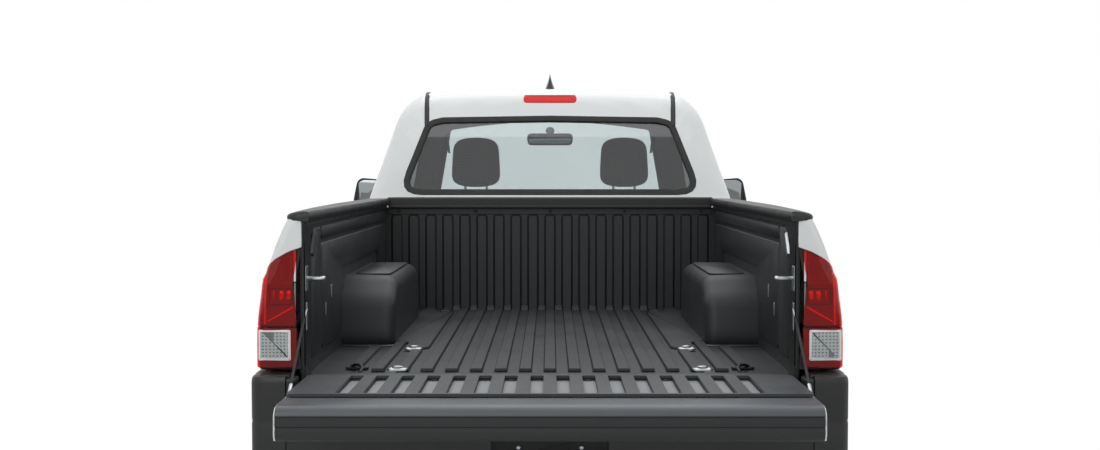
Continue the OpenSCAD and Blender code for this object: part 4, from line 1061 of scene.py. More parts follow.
# ---------------------------------------------------------------- rear pillars and latch pins
# Folded steel posts close the rear ends of the bed walls. Each carries a plated striker for the
# tailgate latch and the hook for its strap.
post_black = finish("painted_black_post", "#121314", "#1b1c1d", 50, 5, 0.1, (0.35, 0.5), IOR=1.5)
for wing, flip in both_sides:
    lump(f"bed_post_{wing}", (702, 4284, 775), (716, 4388, 1262), "truck", post_black, round_by=5,
        segments=3, flip=flip)
    grid_piece(f"bed_post_flange_{wing}", (4372, 4380, 4388, 4390), np.linspace(838, 1240, 12),
        lambda u, v: spots(712 - (u - 4372) * 0.7 + 6 * smooth((v - 1180) / 60), u, v), "truck", post_black,
        flip=flip)
    # The jamb lip is one part on both sides, but the right one is given bright zinc and the left one dark
    # liner: painted highlight on the right, painted shade on the left.
    pads(f"bed_jamb_lip_{wing}", [[(4196, 1196), (4240, 1140), (4270, 1152), (4222, 1214)]],
        [(0, 3), (1.5, 9), (4, 11)], on_wall, "truck", zinc_plate if flip else bed_liner, flip=flip)
    lump(f"striker_plate_{wing}", (700.4, 4336, 1050), (706, 4372, 1122), "truck", zinc_plate, round_by=2,
        flip=flip)
    tube(f"striker_pin_{wing}", mirrored([(703, 4352, 1086), (660, 4352, 1086), (652, 4352, 1087)], flip),
        6.5, "truck", zinc_plate, sides=14)
    lump(f"strap_hook_{wing}", (700.4, 4345, 936), (706, 4366, 1016), "truck", zinc_plate, round_by=2,
        flip=flip)
    disc(f"strap_stud_{wing}", (4355, 1004), 9, [(1, 6), (0.95, 10), (0.6, 11.2), (0.1, 11.5)], on_wall,
        "truck", zinc_plate, flip=flip)


# ---------------------------------------------------------------- tailgate
# The tailgate is a folded steel box hinged at the floor. Its inner face is covered by a moulded tray
# with sixteen pockets and its free edge by a soft-edged black cap. Local sizes run from the hinge.
hinge_y, hinge_z = 4365, 788


def on_gate(x, along, up):
    return spots(x, hinge_y + along, hinge_z + up)


# Moulded inner tray: the same polyethylene, scuffed paler by loading
gate_tray = finish("scuffed_polyethylene_tray", "#3a3e41", "#484c50", 180, 4, 0.22, (0.38, 0.52), IOR=1.5)
pocket_x = [(k + 0.5) * rib_pitch for k in range(-8, 8)]
pockets = [rounded(oblong(x - 20, 30, x + 20, 334), 8, 4) for x in pocket_x]
tray = pressing("tailgate_inner_tray", rounded(oblong(-692, -6, 692, 346), 8), pockets,
    lambda u, v: on_gate(u, v, np.full_like(u, 14.0) - 12 * smooth((8 - v) / 14)), "tailgate", gate_tray,
    gate_tray, step=30, thick=9, edge=1.5, slot="liner")
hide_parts("tailgate")
# The pocket walls, and the drain bosses' sides below, take the near-black painted shade.
pads("tailgate_pockets", pockets, [(-1, 12.5), (0, 11), (1.5, 3), (3, 2)], on_gate, "tailgate", gate_tray,
    painted_shade_black, walls=(0, 1))
for i in (3, 6, 9, 12):
    x = pocket_x[i]
    half_round = [(x + 11 * math.cos(a), 31 + 11 * math.sin(a)) for a in np.linspace(0, math.pi, 12)]
    pads(f"tailgate_drain_boss_{i}", [half_round], [(0, 2), (0, 10), (1.5, 12)], on_gate, "tailgate",
        gate_tray, painted_shade_black, walls=(0,))


def swept(name, line, x0, x1, body, *materials, slot=None, sharp=35):
    """A section (along, up) of the gate, carried straight across it from x0 to x1."""
    line = np.asarray(line, float)
    xs = np.linspace(x0, x1, 15)
    points = np.concatenate([on_gate(np.full(len(line), x), line[:, 0], line[:, 1]) for x in xs])
    n = len(line)
    faces = [(j * n + i, (j + 1) * n + i, (j + 1) * n + (i + 1) % n, j * n + (i + 1) % n) for j in range(14)
        for i in range(n)]
    faces += [tuple(range(n)), tuple(14 * n + i for i in range(n))[::-1]]
    return piece(name, points, faces, body, *materials, sharp=sharp, slot=slot)


# The gate is dark where the tray meets the cap: a folded joint about 4 mm wide, drawn as a near-black strip
# of painted shade
swept("tailgate_joint", oblong(345, 9, 356, 4), -694, 694, "tailgate", painted_shade_black)
# Free-edge cap, moulded in one length; its upper curve is given a paler black than its face, a painted
# highlight where it faces the overhead light
edge_cap = finish("painted_highlight_black_edge_cap", "#474b50", "#565b60", 140, 4, 0.2, (0.33, 0.46), IOR=1.5)
cap_face = finish("grained_black_cap_face", "#191b1c", "#212325", 120, 4, 0.25, (0.42, 0.55), IOR=1.5)
upper = [(351, 4), (351, 11), (352.5, 13.2), (356, 14), (400, 14), (440, 13.6), (458, 12.4), (468, 10),
    (476, 5.5), (481, -1), (483.5, -8), (484, -10), (440, -10), (351, -10)]
swept("tailgate_edge_cap", upper, -695, 695, "tailgate", edge_cap, slot="black_plastic")
face = [(484, -10), (484.6, -13), (482.6, -15.5), (482.8, -18), (484.8, -20), (485, -30), (484.4, -38),
    (481.6, -41), (481.8, -44), (484.4, -47), (484.6, -58), (482, -67), (477, -74), (470, -77.5), (452, -77),
    (440, -74), (440, -10)]
swept("tailgate_cap_face", face, -695, 695, "tailgate", cap_face, slot="black_plastic")
for i, x in enumerate((453, 232, 86, -70, -214, -438)):
    pads(f"cap_clip_{i}", [rounded([(x - 17, 357), (x + 17, 357), (x + 13, 367), (x - 13, 367)], 4, 4)],
        [(0, 13), (0.5, 14.4), (2, 14.8)], on_gate, "tailgate", nylon_pin)
# Painted outer skin and folded side plates
skin_line = [(440, 8), (440, -76), (430, -70), (423, -67.5), (200, -68), (60, -67.5), (20, -62), (2, -44),
    (-8, -20), (-8, 4), (0, 8)]
swept("tailgate_side_box", skin_line, -697, 697, "tailgate", grey_primer)
pull = rounded([(-108, 296), (108, 296), (96, 372), (-96, 372)], 18)
pressing("tailgate_outer_skin", rounded(oblong(-699, 14, 699, 438), 14), [pull],
    lambda u, v: on_gate(u, v, -68.6 - 3 * smooth((v - 180) / 90) + 3 * smooth((v - 300) / 90) - 4 *
    smooth((430 - v) / 420) * smooth((v - 20) / 200)), "tailgate", white_enamel, grey_primer, step=30,
    thick=-1.2, edge=-0.6, slot="body_paint")
pads("tailgate_pull_bowl", [pull], [(-2, -67), (0, -66), (4, -34), (14, -28)], on_gate, "tailgate",
    black_moulding)
grip = [(x, hinge_y + 322 + 0.0004 * x * x, hinge_z - 58) for x in np.linspace(-92, 92, 13)]
tube("tailgate_pull_grip", grip, 11, "tailgate", black_moulding, sides=14, flat=0.55)
for wing, flip in both_sides:
    outline = [(-10, 6), (-8, -26), (6, -56), (24, -68), (200, -72), (423, -70), (450, -79), (474, -76),
        (481, -60), (478, -8), (462, 6), (440, 10), (20, 11)]
    pads(f"tailgate_side_plate_{wing}", [rounded(outline, 6, 4)], [(0, 0), (0, 3.5), (1, 4.4)],
        lambda u, v, up: on_gate(695.4 + up, u, v), "tailgate", white_enamel, flip=flip)
    # Rubber seal, latch mouth and hinge barrel on each side
    pads(f"tailgate_side_seal_{wing}", [rounded(oblong(30, -10, 430, 8), 6, 4)],
        [(0, 0), (0, 0.4), (1, 0.6)], lambda u, v, up: on_gate(699.3 + up, u, v), "tailgate", rubber_seal,
        flip=flip)
    # The latch mouth's inner wall takes the near-black painted shade.
    pads(f"tailgate_latch_{wing}", [rounded(oblong(286, -36, 334, -12), 5, 4)], [(0, 0), (0, 0.5), (6, 0.5),
        (7, -6)], lambda u, v, up: on_gate(699.3 + up, u, v), "tailgate", zinc_plate, painted_shade_black, walls=(2,),
        flip=flip)
    tube(f"tailgate_hinge_pin_{wing}", mirrored([(640, hinge_y, hinge_z), (709, hinge_y, hinge_z)], flip), 9,
        "tailgate", zinc_plate, sides=16)
for wing, flip in both_sides:
    # Support strap: a steel cable in a black sleeve, hooked to the post and pinned to the gate's side.
    high, low = np.array([704.0, 4355, 1000]), np.array([704.5, 4615, 790])
    way = (low - high) / np.linalg.norm(low - high)
    run = [high + (low - high) * t for t in np.linspace(0.06, 0.9, 12)]
    cable = tube(f"tailgate_strap_{wing}", mirrored(run, flip), 4.2, "truck", rubber_seal, sides=10,
        flat=0.75, slot="black_plastic")
    for end, at in (("upper", (0, 0.1)), ("lower", (0.88, 1))):
        ferrule = tube(f"strap_ferrule_{end}_{wing}", mirrored([high + (low - high) * t
            for t in (at[0], (at[0] + at[1]) / 2, at[1])], flip), 5.2, "truck", zinc_plate, sides=10,
            flat=0.8)
        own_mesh(ferrule)
    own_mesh(cable)
    if not flip:
        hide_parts("tailgate_straps")


# ---------------------------------------------------------------- tail lamps
# Each lamp is a red acrylic lens welded to a black housing and screwed to the bed corner. Inside are a
# metallised bowl, an upper reflector, bulbs and a light guide; the reversing lens below is clear.
def on_corner(out=0):
    """Places (u, v, up) on the bed corner's surface, with up measured outwards."""
    return lambda u, v, up: np.stack([bed_wrap(o)(np.array([a]), np.array([b]))[0] for a, b, o in zip(u, v,
        up + out)])


def rear_box(x0, x1, z0, z1):
    """A box on the rear face, from its middle-line distances and heights."""
    return [(rear_u(x0, z0), z0), (rear_u(x1, z0), z0), (rear_u(x1, z1), z1), (rear_u(x0, z1), z1)]


# Dyed acrylic: deep red, clear, with sharp reflections
red_acrylic = glass("dyed_red_acrylic", ("#f0061c", "#fb1230"), gloss=0.0)
clear_acrylic = glass("clear_acrylic", ("#f0f2f2", "#f6f8f8"), gloss=0.02)
# Vacuum-metallised ABS: silvery, slightly rippled; the bowls are dulled, the guides are opal
metal_bowl = finish("metallised_abs_reflector", "#c9cccf", "#dfe2e4", 12, 6, 0.3, (0.12, 0.2), Metallic=1.0)
dull_bowl = finish("satin_grey_lamp_bowl", "#8a8b91", "#a2a3a9", 40, 10, 0.6, (0.3, 0.45), IOR=1.5)
opal_guide = finish("opal_acrylic_light_guide", "#f2f2f2", "#ffffff", 20, 6, 0.1, (0.2, 0.3), IOR=1.49)
upper_lens = [(4232, 952), (4232, 1090)] + [(u, z - 6) for u, z in lamp_top[1:-1]] + [(rear_u(724, 1172),
    1172), (rear_u(724, 952), 952)]
lower_lens = [(4238, 846), (4232, 860), (4232, 946), (rear_u(724, 946), 946), (rear_u(724, 842), 842),
    (rear_u(738, 834), 834), (rear_u(800, 832), 832), (4385, 834), (4366, 838)]
reverse = rear_box(836, 741, 853, 942)
for wing, flip in both_sides:
    gasket = pressing(f"tail_lamp_{wing}_gasket", [(4225, 839)] + [(u + 2, z - 2)
        for u, z in lamp_top] + [(rear_u(jamb_x + 1, 829), 829), (4372, 829)], [], bed_wrap(-6), "truck",
        rubber_seal, rubber_seal, step=30, thick=14, edge=3, flip=flip)
    if not flip:
        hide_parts("tail_lamps")
    for part, line in (("upper", upper_lens), ("lower", lower_lens)):
        holes = [] if part == "upper" else [shrunk(reverse, -1, 4)]
        pressing(f"tail_lamp_{wing}_{part}_lens", rounded(line, 7), holes, bed_wrap(1.5), "truck",
            red_acrylic, red_acrylic, step=18, thick=5, edge=2.5, flip=flip, slot="red_lens")
        pressing(f"tail_lamp_{wing}_{part}_bowl", shrunk(line, 2, 6), [], bed_wrap(-4.6), "truck", dull_bowl,
            rubber_seal, step=24, thick=1, edge=0.5, flip=flip)
    # Upper reflector, brighter towards the inner edge, over a darker bulb chamber: its inner wall takes the
    # near-black painted shade
    up_line = [(rear_u(808, 1072), 1072), (rear_u(734, 1068), 1068), (rear_u(734, 1160), 1160), (4400, 1140),
        (4382, 1122), (rear_u(826, 1098), 1098)]
    pads(f"tail_lamp_{wing}_upper_reflector", [rounded(up_line, 8, 4)], [(0, -4.5), (0.5, -3.6), (6, -3.2),
        (9, -3.9)], on_corner(), "truck", dull_bowl, flip=flip)
    pads(f"tail_lamp_{wing}_bulb_chamber", [rounded(rear_box(806, 734, 1012, 1064), 6, 4)],
        [(0, -4.5), (0.5, -3.4), (2, -3.2), (4, -4.4)], on_corner(), "truck", dull_bowl, painted_shade_black,
        walls=(2,), flip=flip)
    for i, x in enumerate((747, 768, 790)):
        wide = 7.5 if i < 2 else 3
        pads(f"tail_lamp_{wing}_bulb_{i}", [rounded(rear_box(x + wide, x - wide, 1026, 1054), 3 if i > 1
            else 7, 5)], [(0, -4.3), (1, -2.6), (2.6, -1.6)], on_corner(), "truck", metal_bowl, flip=flip)
    # A diagonal ridge in white opal acrylic inside the lower lens: a painted highlight line.
    pads(f"tail_lamp_{wing}_ridge", [[(rear_u(812, 962), 962), (rear_u(808, 968), 968),
        (rear_u(770, 990), 990), (rear_u(734, 1010), 1010), (rear_u(734, 1004), 1004),
        (rear_u(772, 982), 982)]], [(0, -4.5), (0.4, -3.2), (1.6, -2.8)], on_corner(), "truck", opal_guide,
        flip=flip)
    guide = [(4246, 962), (4246, 1084), (4292, 1092), (4344, 1102), (4376, 1117), (4396, 1134), (4418, 1150)]
    guide_2 = [(rear_u(816, z), z) for z in (958, 1000, 1040, 1080, 1100)]
    for i, line in enumerate((guide, guide_2)):
        line = np.array(line, float)
        tube(f"tail_lamp_{wing}_guide_{i}", mirrored(bed_wrap(-4)(line[:, 0], line[:, 1]), flip), 3.4,
            "truck", opal_guide if i else dull_bowl, sides=8)
    # A white opal strip along the upper inner edge, dimmer grey below it: a painted highlight running down
    # the lens's inner edge.
    strip = rear_box(732, 726, 1080, 1168)
    pads(f"tail_lamp_{wing}_edge_strip", [strip], [(0, -4.3), (0.4, -1.4), (1.5, -1.2)], on_corner(),
        "truck", opal_guide, flip=flip)
    pads(f"tail_lamp_{wing}_edge_strip_low", [rear_box(731, 727, 956, 1076)], [(0, -4.3), (0.4, -2),
        (1, -1.8)], on_corner(), "truck", dull_bowl, flip=flip)
    # Reversing lamp: clear lens in a bright frame over an embossed reflector
    pads(f"tail_lamp_{wing}_reverse_frame", [shrunk(reverse, 0, 5)], [(0, -4), (0.6, 2.4), (1.6, 3),
        (6.5, 3), (7.5, 2), (9, -2)], on_corner(), "truck", opal_guide, flip=flip)
    # The cells' edge walls take the near-black painted shade.
    cells = [rear_box(745 + i * 10.4 + 7.2, 745 + i * 10.4 + 2.4, 862 + j * 9.4 + 2.6, 862 + j * 9.4 + 6.2)
        for i in range(8) for j in range(8)]
    pads(f"tail_lamp_{wing}_reverse_cells", cells, [(0, -1.9), (0.3, -0.4), (1.2, -0.2)], on_corner(),
        "truck", dull_bowl, painted_shade_black, walls=(0,), flip=flip)
    pressing(f"tail_lamp_{wing}_reverse_lens", shrunk(reverse, 7, 3), [], bed_wrap(2.2), "truck",
        clear_acrylic, clear_acrylic, step=18, thick=1, edge=0.4, flip=flip, slot="clear_lens")


# ---------------------------------------------------------------- high brake lamp
# A slim red lamp with a row of diodes, screwed into the roof's rear edge over a black foam gasket.
def on_header(u, v, up):
    return spots(u, 2188 - 0.423 * v + 0.906 * up, 1711 + 0.906 * v + 0.423 * up)


lamp_line = oblong(-119, -19, 119, 19)
base = pads("brake_lamp_gasket", [rounded(oblong(-124, -24, 124, 24), 20, 6)], [(0, -4), (0, 18), (2, 20.5)],
    on_header, "truck", rubber_seal)
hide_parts("brake_lamp")
pads("brake_lamp_bowl", [rounded(lamp_line, 16, 6)], [(0, 18), (0, 20.6), (2, 21)], on_header, "truck",
    dull_bowl)
diodes = [rounded(oblong(x - 4.4, -5, x + 4.4, 5), 4, 4) for x in range(-78, 79, 13)]
pads("brake_lamp_diodes", diodes, [(0, 20.8), (0.8, 22.4), (2, 22.8)], on_header, "truck", opal_guide)
pads("brake_lamp_lens", [rounded(lamp_line, 16, 6)], [(0, 19), (0, 23), (0.8, 24.4), (3, 25.6), (8, 26)],
    on_header, "truck", red_acrylic, slot="red_lens")
for i, x in enumerate((-100, 100)):
    disc(f"brake_lamp_screw_{i}", (x, 0), 6, [(1, 19), (0.95, 22), (0.6, 23), (0.3, 22)], on_header, "truck",
        nylon_pin)


# ---------------------------------------------------------------- roof fin antenna
# A gloss-black moulded fin on a rubber foot, over the radio antenna on the roof's rear.
def stacked(name, rings, body, *materials, slot=None, sharp=40, close=False):
    """A form built from matching rings of points, one after another, capped at both ends."""
    rings = [np.asarray(r, float) for r in rings]
    n, m = len(rings[0]), len(rings)
    faces = [(j * n + i, j * n + (i + 1) % n, ((j + 1) % m) * n + (i + 1) % n, ((j + 1) % m) * n + i)
        for j in range(m if close else m - 1) for i in range(n)]
    if not close:
        faces += [tuple(range(n))[::-1], tuple((m - 1) * n + i for i in range(n))]
    return piece(name, np.concatenate(rings), faces, body, *materials, sharp=sharp, slot=slot)


# Gloss-painted ABS: wet black
gloss_black = finish("gloss_painted_black_abs", "#0b0c0d", "#101112", 100, 8, 0.02, (0.12, 0.18),
    Coat_Weight=0.6, Coat_Roughness=0.03, IOR=1.5)
rings = []
for t in (0, 0.04, 0.12, 0.25, 0.4, 0.55, 0.7, 0.84, 0.94, 1.0):
    front, back = 1903 + 112 * t ** 0.75, 2060 - 14 * t
    half, z = 2.2 + 24 * (1 - t) ** 1.25, 1782 - 3 * (t == 0) + 61 * t
    a = np.arange(24) * math.pi / 12
    along = np.cos(a)
    width = half * np.abs(np.sin(a)) ** 0.9 * np.sign(np.sin(a)) * (1 + 0.35 * along * (1 - t)) / 1.2
    y = (front + back) / 2 + along * (back - front) / 2
    rings.append(spots(width, y, z - 0.03 * (y - 1900) * (1 - t)))
fin = stacked("antenna_fin", rings, "truck", gloss_black, slot="gloss_black")
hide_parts("roof_antenna")


# ---------------------------------------------------------------- cab glass and roof mouldings
# The rear window is a flat dark pane bonded behind a broad rubber seal; the windscreen is laminated,
# curved and bonded over a black ceramic border. Two black mouldings cover the roof's weld ditches.
def on_rear_cab(u, v, up):
    c, s = math.cos(rear_slope), math.sin(rear_slope)
    out = np.array([0, s, -c])
    start = spots(u, rear_glass_y + v * c, rear_glass_z + v * s) - out * 230
    return skin(start, np.tile(out, (len(u), 1)), 900) + out * np.asarray(up)[:, None]


def rear_flat(depth):
    c, s = math.cos(rear_slope), math.sin(rear_slope)
    return lambda u, v: spots(u, rear_glass_y + v * c - depth * s, rear_glass_z + v * s + depth * c)


rear_line = rounded(rear_cut, 75)
rear_line = rear_line[::-1] if turned(rear_line) < 0 else rear_line
pads("rear_window_seal", [divided(rear_line, 30)], [(-5, -8), (-5, -1), (-2.5, 2.2), (8, 3), (20, 1.5),
    (24, -3), (24, -14)], on_rear_cab, "truck", rubber_seal, cap=False)
pane = pressing("rear_window_pane", shrunk(rear_cut, 16, 60), [], rear_flat(6), "truck", dark_pane,
    dark_pane, step=120, thick=4, edge=0.5, slot="tinted_glass")
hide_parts("rear_window")


def on_screen(u, v, up=0):
    a, r = u / 3000, 3000 + up
    deep = 3000 - r * np.cos(a)
    return spots(r * np.sin(a), screen_y + v * math.cos(slope) + deep * math.sin(slope),
        screen_z + v * math.sin(slope) - deep * math.cos(slope))


screen_line = rounded(screen_cut, 60)
screen_line = screen_line[::-1] if turned(screen_line) < 0 else screen_line
pane = pressing("windscreen_pane", shrunk(screen_line, 3, 0), [], lambda u, v: on_screen(u, v, -4.5),
    "truck", clear_pane, clear_pane, step=70, thick=5, edge=0.5, slot="clear_glass")
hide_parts("windscreen")
# Ceramic border fired on to the glass: a fine dense matt black
ceramic_border = finish("fired_black_ceramic_border", "#0a0b0c", "#101112", 30, 5, 0.05, (0.35, 0.5),
    IOR=1.5)
pads("windscreen_border", [divided(screen_line, 30)], [(1, -3.9), (4, -3.6), (34, -3.6), (35, -3.8)],
    on_screen, "truck", ceramic_border, cap=False)
pads("windscreen_moulding", [divided(screen_line, 30)], [(-2, -8), (-2, -2), (0, 0.4), (6, 0), (8, -3.4)],
    on_screen, "truck", rubber_seal, cap=False)
for wing, flip in both_sides:
    path_y = np.concatenate([np.linspace(900, 2080, 30), [2120, 2150, 2180, 2205, 2226, 2246, 2262]])
    path_x = np.interp(path_y, [900, 1100, 1400, 2000, 2120, 2262], [548, 556, 562, 556, 552, 548])
    start = spots(path_x, np.minimum(path_y, 2110), np.full(len(path_y), 1500.0))
    way = spots(np.zeros(len(path_y)), np.maximum(path_y - 2110, 0) / 152 * 1.35, np.ones(len(path_y)))
    ditch = skin(start, way, 800)
    tube(f"roof_ditch_moulding_{wing}", mirrored(ditch, flip), np.interp(path_y, [900, 1000, 2262],
        [4, 9, 11]), "truck", black_moulding, sides=10, flat=0.5)


# ---------------------------------------------------------------- cowl and wipers
# A black moulded tray bridges hood and windscreen and drains the screen; two wipers park along it.
def cowl_place(u, v):
    """u runs across, v from 0 at the hood's rear edge to 1 on the screen's lower edge."""
    x = np.abs(u)
    first = spots(u, hood_rear(np.minimum(x, 690) / 690) - 14, nose_z(np.minimum(x, 700),
        hood_rear(np.minimum(x, 690) / 690) - 14) - 16 - 0.3 * np.maximum(x - 690, 0))
    sill = np.interp(x, [0, 200, 400, 600, 690, 760], [-8, -2, 20, 42, 66, 96])
    last = on_screen(u, sill, -5)
    v = v[:, None]
    return first * (1 - v) + last * v - np.array([0, 0, 1]) * 14 * (v * (1 - v)) * 4


grid_piece("cowl_tray", np.linspace(-740, 740, 60), np.linspace(0, 1, 9), cowl_place, "truck",
    black_moulding)
for i, (x, v0) in enumerate((x, v) for x in range(-480, 481, 80) for v in (0.4, 0.55)):
    line = cowl_place(np.linspace(x - 32, x + 32, 5), np.full(5, v0)) + [0, 0, 1.0]
    tube(f"cowl_slat_{i}", line, 2.4, "truck", rubber_seal, sides=6)
for i, (foot, tip) in enumerate((((480, 20), (-60, 96)), ((-120, -4), (-600, 120)))):
    a, b = np.array(foot, float), np.array(tip, float)
    arm = [on_screen(np.array([p[0]]), np.array([p[1]]), up)[0] for p, up in ((a, -2), (a, 16),
        (a + (b - a) * 0.12, 26), (a + (b - a) * 0.5, 20), (a + (b - a) * 0.56, 10))]
    tube(f"wiper_arm_{i}", arm, [9, 9, 6, 4, 4], "truck", post_black, sides=8)
    blade = [on_screen(np.array([p[0]]), np.array([p[1]]), 3.5)[0] for p in (a + (b - a) * t + [0, 8]
        for t in np.linspace(0.12, 1, 14))]
    tube(f"wiper_blade_{i}", blade, [4] + [6] * 12 + [4], "truck", rubber_seal, sides=6)


# ---------------------------------------------------------------- front bumper
# A blow-moulded textured bumper skin clipped over a steel beam, bowed like the nose it protects.
nose_x = np.linspace(0, 905, 400)
nose_y = 75 * (nose_x / 600) ** 2.4 + 110 * (np.maximum(0, nose_x - 560) / 250) ** 2
nose_s = np.concatenate([[0], np.cumsum(np.hypot(np.diff(nose_x), np.diff(nose_y)))])


def on_nose(front, bulge=0):
    """A bowed front surface whose middle stands at y = front: u runs across it, v is height."""
    def at(u, v, up=0):
        s = np.abs(u)
        x, y = np.interp(s, nose_s, nose_x), front + np.interp(s, nose_s, nose_y)
        slope_y = np.interp(s, nose_s, np.gradient(nose_y, nose_x))
        out = unit(spots(slope_y, -np.ones_like(slope_y)))
        swell = -bulge * np.minimum(np.abs((v - 584) / 190), 1.2) ** 2 + up
        return spots((x + out[:, 0] * swell) * np.where(u < 0, -1, 1), y + out[:, 1] * swell, v)
    return at


reach = float(nose_s[-1]) - 4
low_edge = [(-reach, 470), (-760, 420), (-520, 397), (520, 397), (760, 420), (reach, 470)]
top_edge = [(reach, 862), (0.82 * reach, 838), (0.64 * reach, 800), (520, 774), (468, 770), (425, 712),
    (352, 627), (-352, 627), (-425, 712), (-468, 770), (-520, 774), (-0.64 * reach, 800),
    (-0.82 * reach, 838), (-reach, 862)]
intake = rounded([(-395, 452), (395, 452), (430, 556), (-430, 556)], 26)
fogs = [rounded([(s * 560 - 62, 520), (s * 560 + 62, 520), (s * 560 + 70, 622), (s * 560 - 70, 622)], 28)
    for s in (-1, 1)]
skin_front = pressing("front_bumper_skin", rounded(low_edge + top_edge, 12), [intake] + fogs,
    on_nose(-904, 12), "truck", black_moulding, black_moulding, step=28, thick=24, edge=6,
    slot="black_plastic")
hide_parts("front_bumper")
# Behind the intake stands a near-black sheet of painted shade.
pressing("front_intake_back", [(-440, 440), (440, 440), (450, 566), (-450, 566)], [], on_nose(-850), "truck",
    painted_shade_black, painted_shade_black, step=60, thick=6, edge=1)
for i, z in enumerate((474, 500, 526)):
    s = np.linspace(-410, 410, 25)
    tube(f"front_intake_bar_{i}", on_nose(-885)(s, np.full(25, float(z))), 6, "truck", gloss_black, sides=8,
        flat=0.5)
for wing, flip in both_sides:
    cup = rounded([(494, 514), (626, 514), (634, 628), (486, 628)], 28)
    pads(f"fog_bezel_{wing}", [cup], [(0, -14), (1, 1), (6, 2), (14, -18), (24, -24)], on_nose(-900),
        "truck", gloss_black, flip=flip)
    at = on_nose(-900)
    disc(f"fog_lamp_bowl_{wing}", (560, 570), 40, [(1, -24), (0.96, -12), (0.9, -12), (0.7, -22), (0.3, -27),
        (0.1, -27)], at, "truck", metal_bowl, flip=flip)
    disc(f"fog_lamp_lens_{wing}", (560, 570), 40, [(0.98, -15), (0.94, -9), (0.7, -6.5), (0.3, -5.5),
        (0.05, -5.4)], at, "truck", clear_acrylic, flip=flip, slot="clear_lens")
# Blank number plate: plain white aluminium, unmarked, screwed to a black carrier
plate_white = finish("painted_aluminium_plate", "#e2e4e3", "#ebedec", 120, 9, 0.05, (0.3, 0.4), IOR=1.5)
pads("front_plate_carrier", [rounded(oblong(-165, 590, 165, 690), 8)], [(0, -18), (0, 6), (2, 8)],
    on_nose(-897), "truck", black_moulding)
pads("front_plate", [rounded(oblong(-152, 600, 152, 680), 8)], [(0, 7), (0, 8.6), (1, 9.4), (4, 9.4),
    (5, 8.9)], on_nose(-897), "truck", plate_white)


# ---------------------------------------------------------------- grille
# A moulded surround holds seven slats in front of a dark screen, a near-black sheet of painted shade; it is
# clipped between the headlamps.
frame_line = [(-452, 972), (-404, 722), (-334, 642), (334, 642), (404, 722), (452, 972)]
hole = [(-412, 944), (-374, 738), (-318, 672), (318, 672), (374, 738), (412, 944)]
surround = pressing("grille_surround", rounded(frame_line, 26), [rounded(hole, 22)], on_nose(-862), "truck",
    gloss_black, black_moulding, step=26, thick=30, edge=7, slot="gloss_black")
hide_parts("grille")
# The screen is a near-black sheet of painted shade.
pressing("grille_screen", [(-430, 958), (-385, 728), (-326, 652), (326, 652), (385, 728), (430, 958)], [],
    on_nose(-822), "truck", painted_shade_black, painted_shade_black, step=60, thick=4, edge=1)
for i, z in enumerate(np.linspace(702, 918, 7)):
    half = float(np.interp(z, [672, 738, 944], [318, 374, 412])) - 2
    s = np.linspace(-half, half, 27)
    tube(f"grille_slat_{i}", on_nose(-852)(s, np.full(27, z)), 11, "truck", trim_moulding, sides=10,
        flat=0.42, up=(0, -0.3, 1))
for i, s in enumerate((-260, -130, 0, 130, 260)):
    post_z = np.linspace(672, 946, 9)
    tube(f"grille_post_{i}", on_nose(-838)(np.full(9, float(s)), post_z), 5, "truck", trim_moulding, sides=6,
        up=(1, 0, 0))
# Black header panel that fills the shut line between hood, lamps and grille
pressing("nose_header", oblong(-690, 930, 690, 1000), [], on_nose(-822), "truck", post_black, post_black,
    step=60, thick=6, edge=2)


# ---------------------------------------------------------------- headlamps
# Clear polycarbonate lenses over black bezels, each with two round metallised bowls and a lower guide.
lamp_a, lamp_b, lamp_c = (np.array(p, float) for p in ((500, -797), (float(side(-700, 870)) - 12, -756),
    (float(side(-447, 870)) - 2, -449)))


def on_headlamp(u, v, up=0):
    """u from 0 at the grille to 1 at the fender, v from 0 at the lower edge to 1."""
    u, v = np.asarray(u, float), np.asarray(v, float)
    t = np.clip(u, 0, 1)[:, None]
    plan = (1 - t) ** 2 * lamp_a + 2 * t * (1 - t) * lamp_b + t * t * lamp_c
    way = unit(2 * (1 - t) * (lamp_b - lamp_a) + 2 * t * (lamp_c - lamp_b))
    out = spots(way[:, 1], -way[:, 0])
    z = (780 + 95 * u) * (1 - v) + (962 + 8 * u) * v
    lift = np.broadcast_to(up, u.shape) + 5 * (1 - (2 * v - 1) ** 2)
    return spots(plan[:, 0] + out[:, 0] * lift, plan[:, 1] + out[:, 1] * lift, z)


def lamp_frame(u, v, up=0):
    """The same surface in millimetres: u along the lens, v up it."""
    return on_headlamp(np.asarray(u) / 470, np.asarray(v) / 180, up)


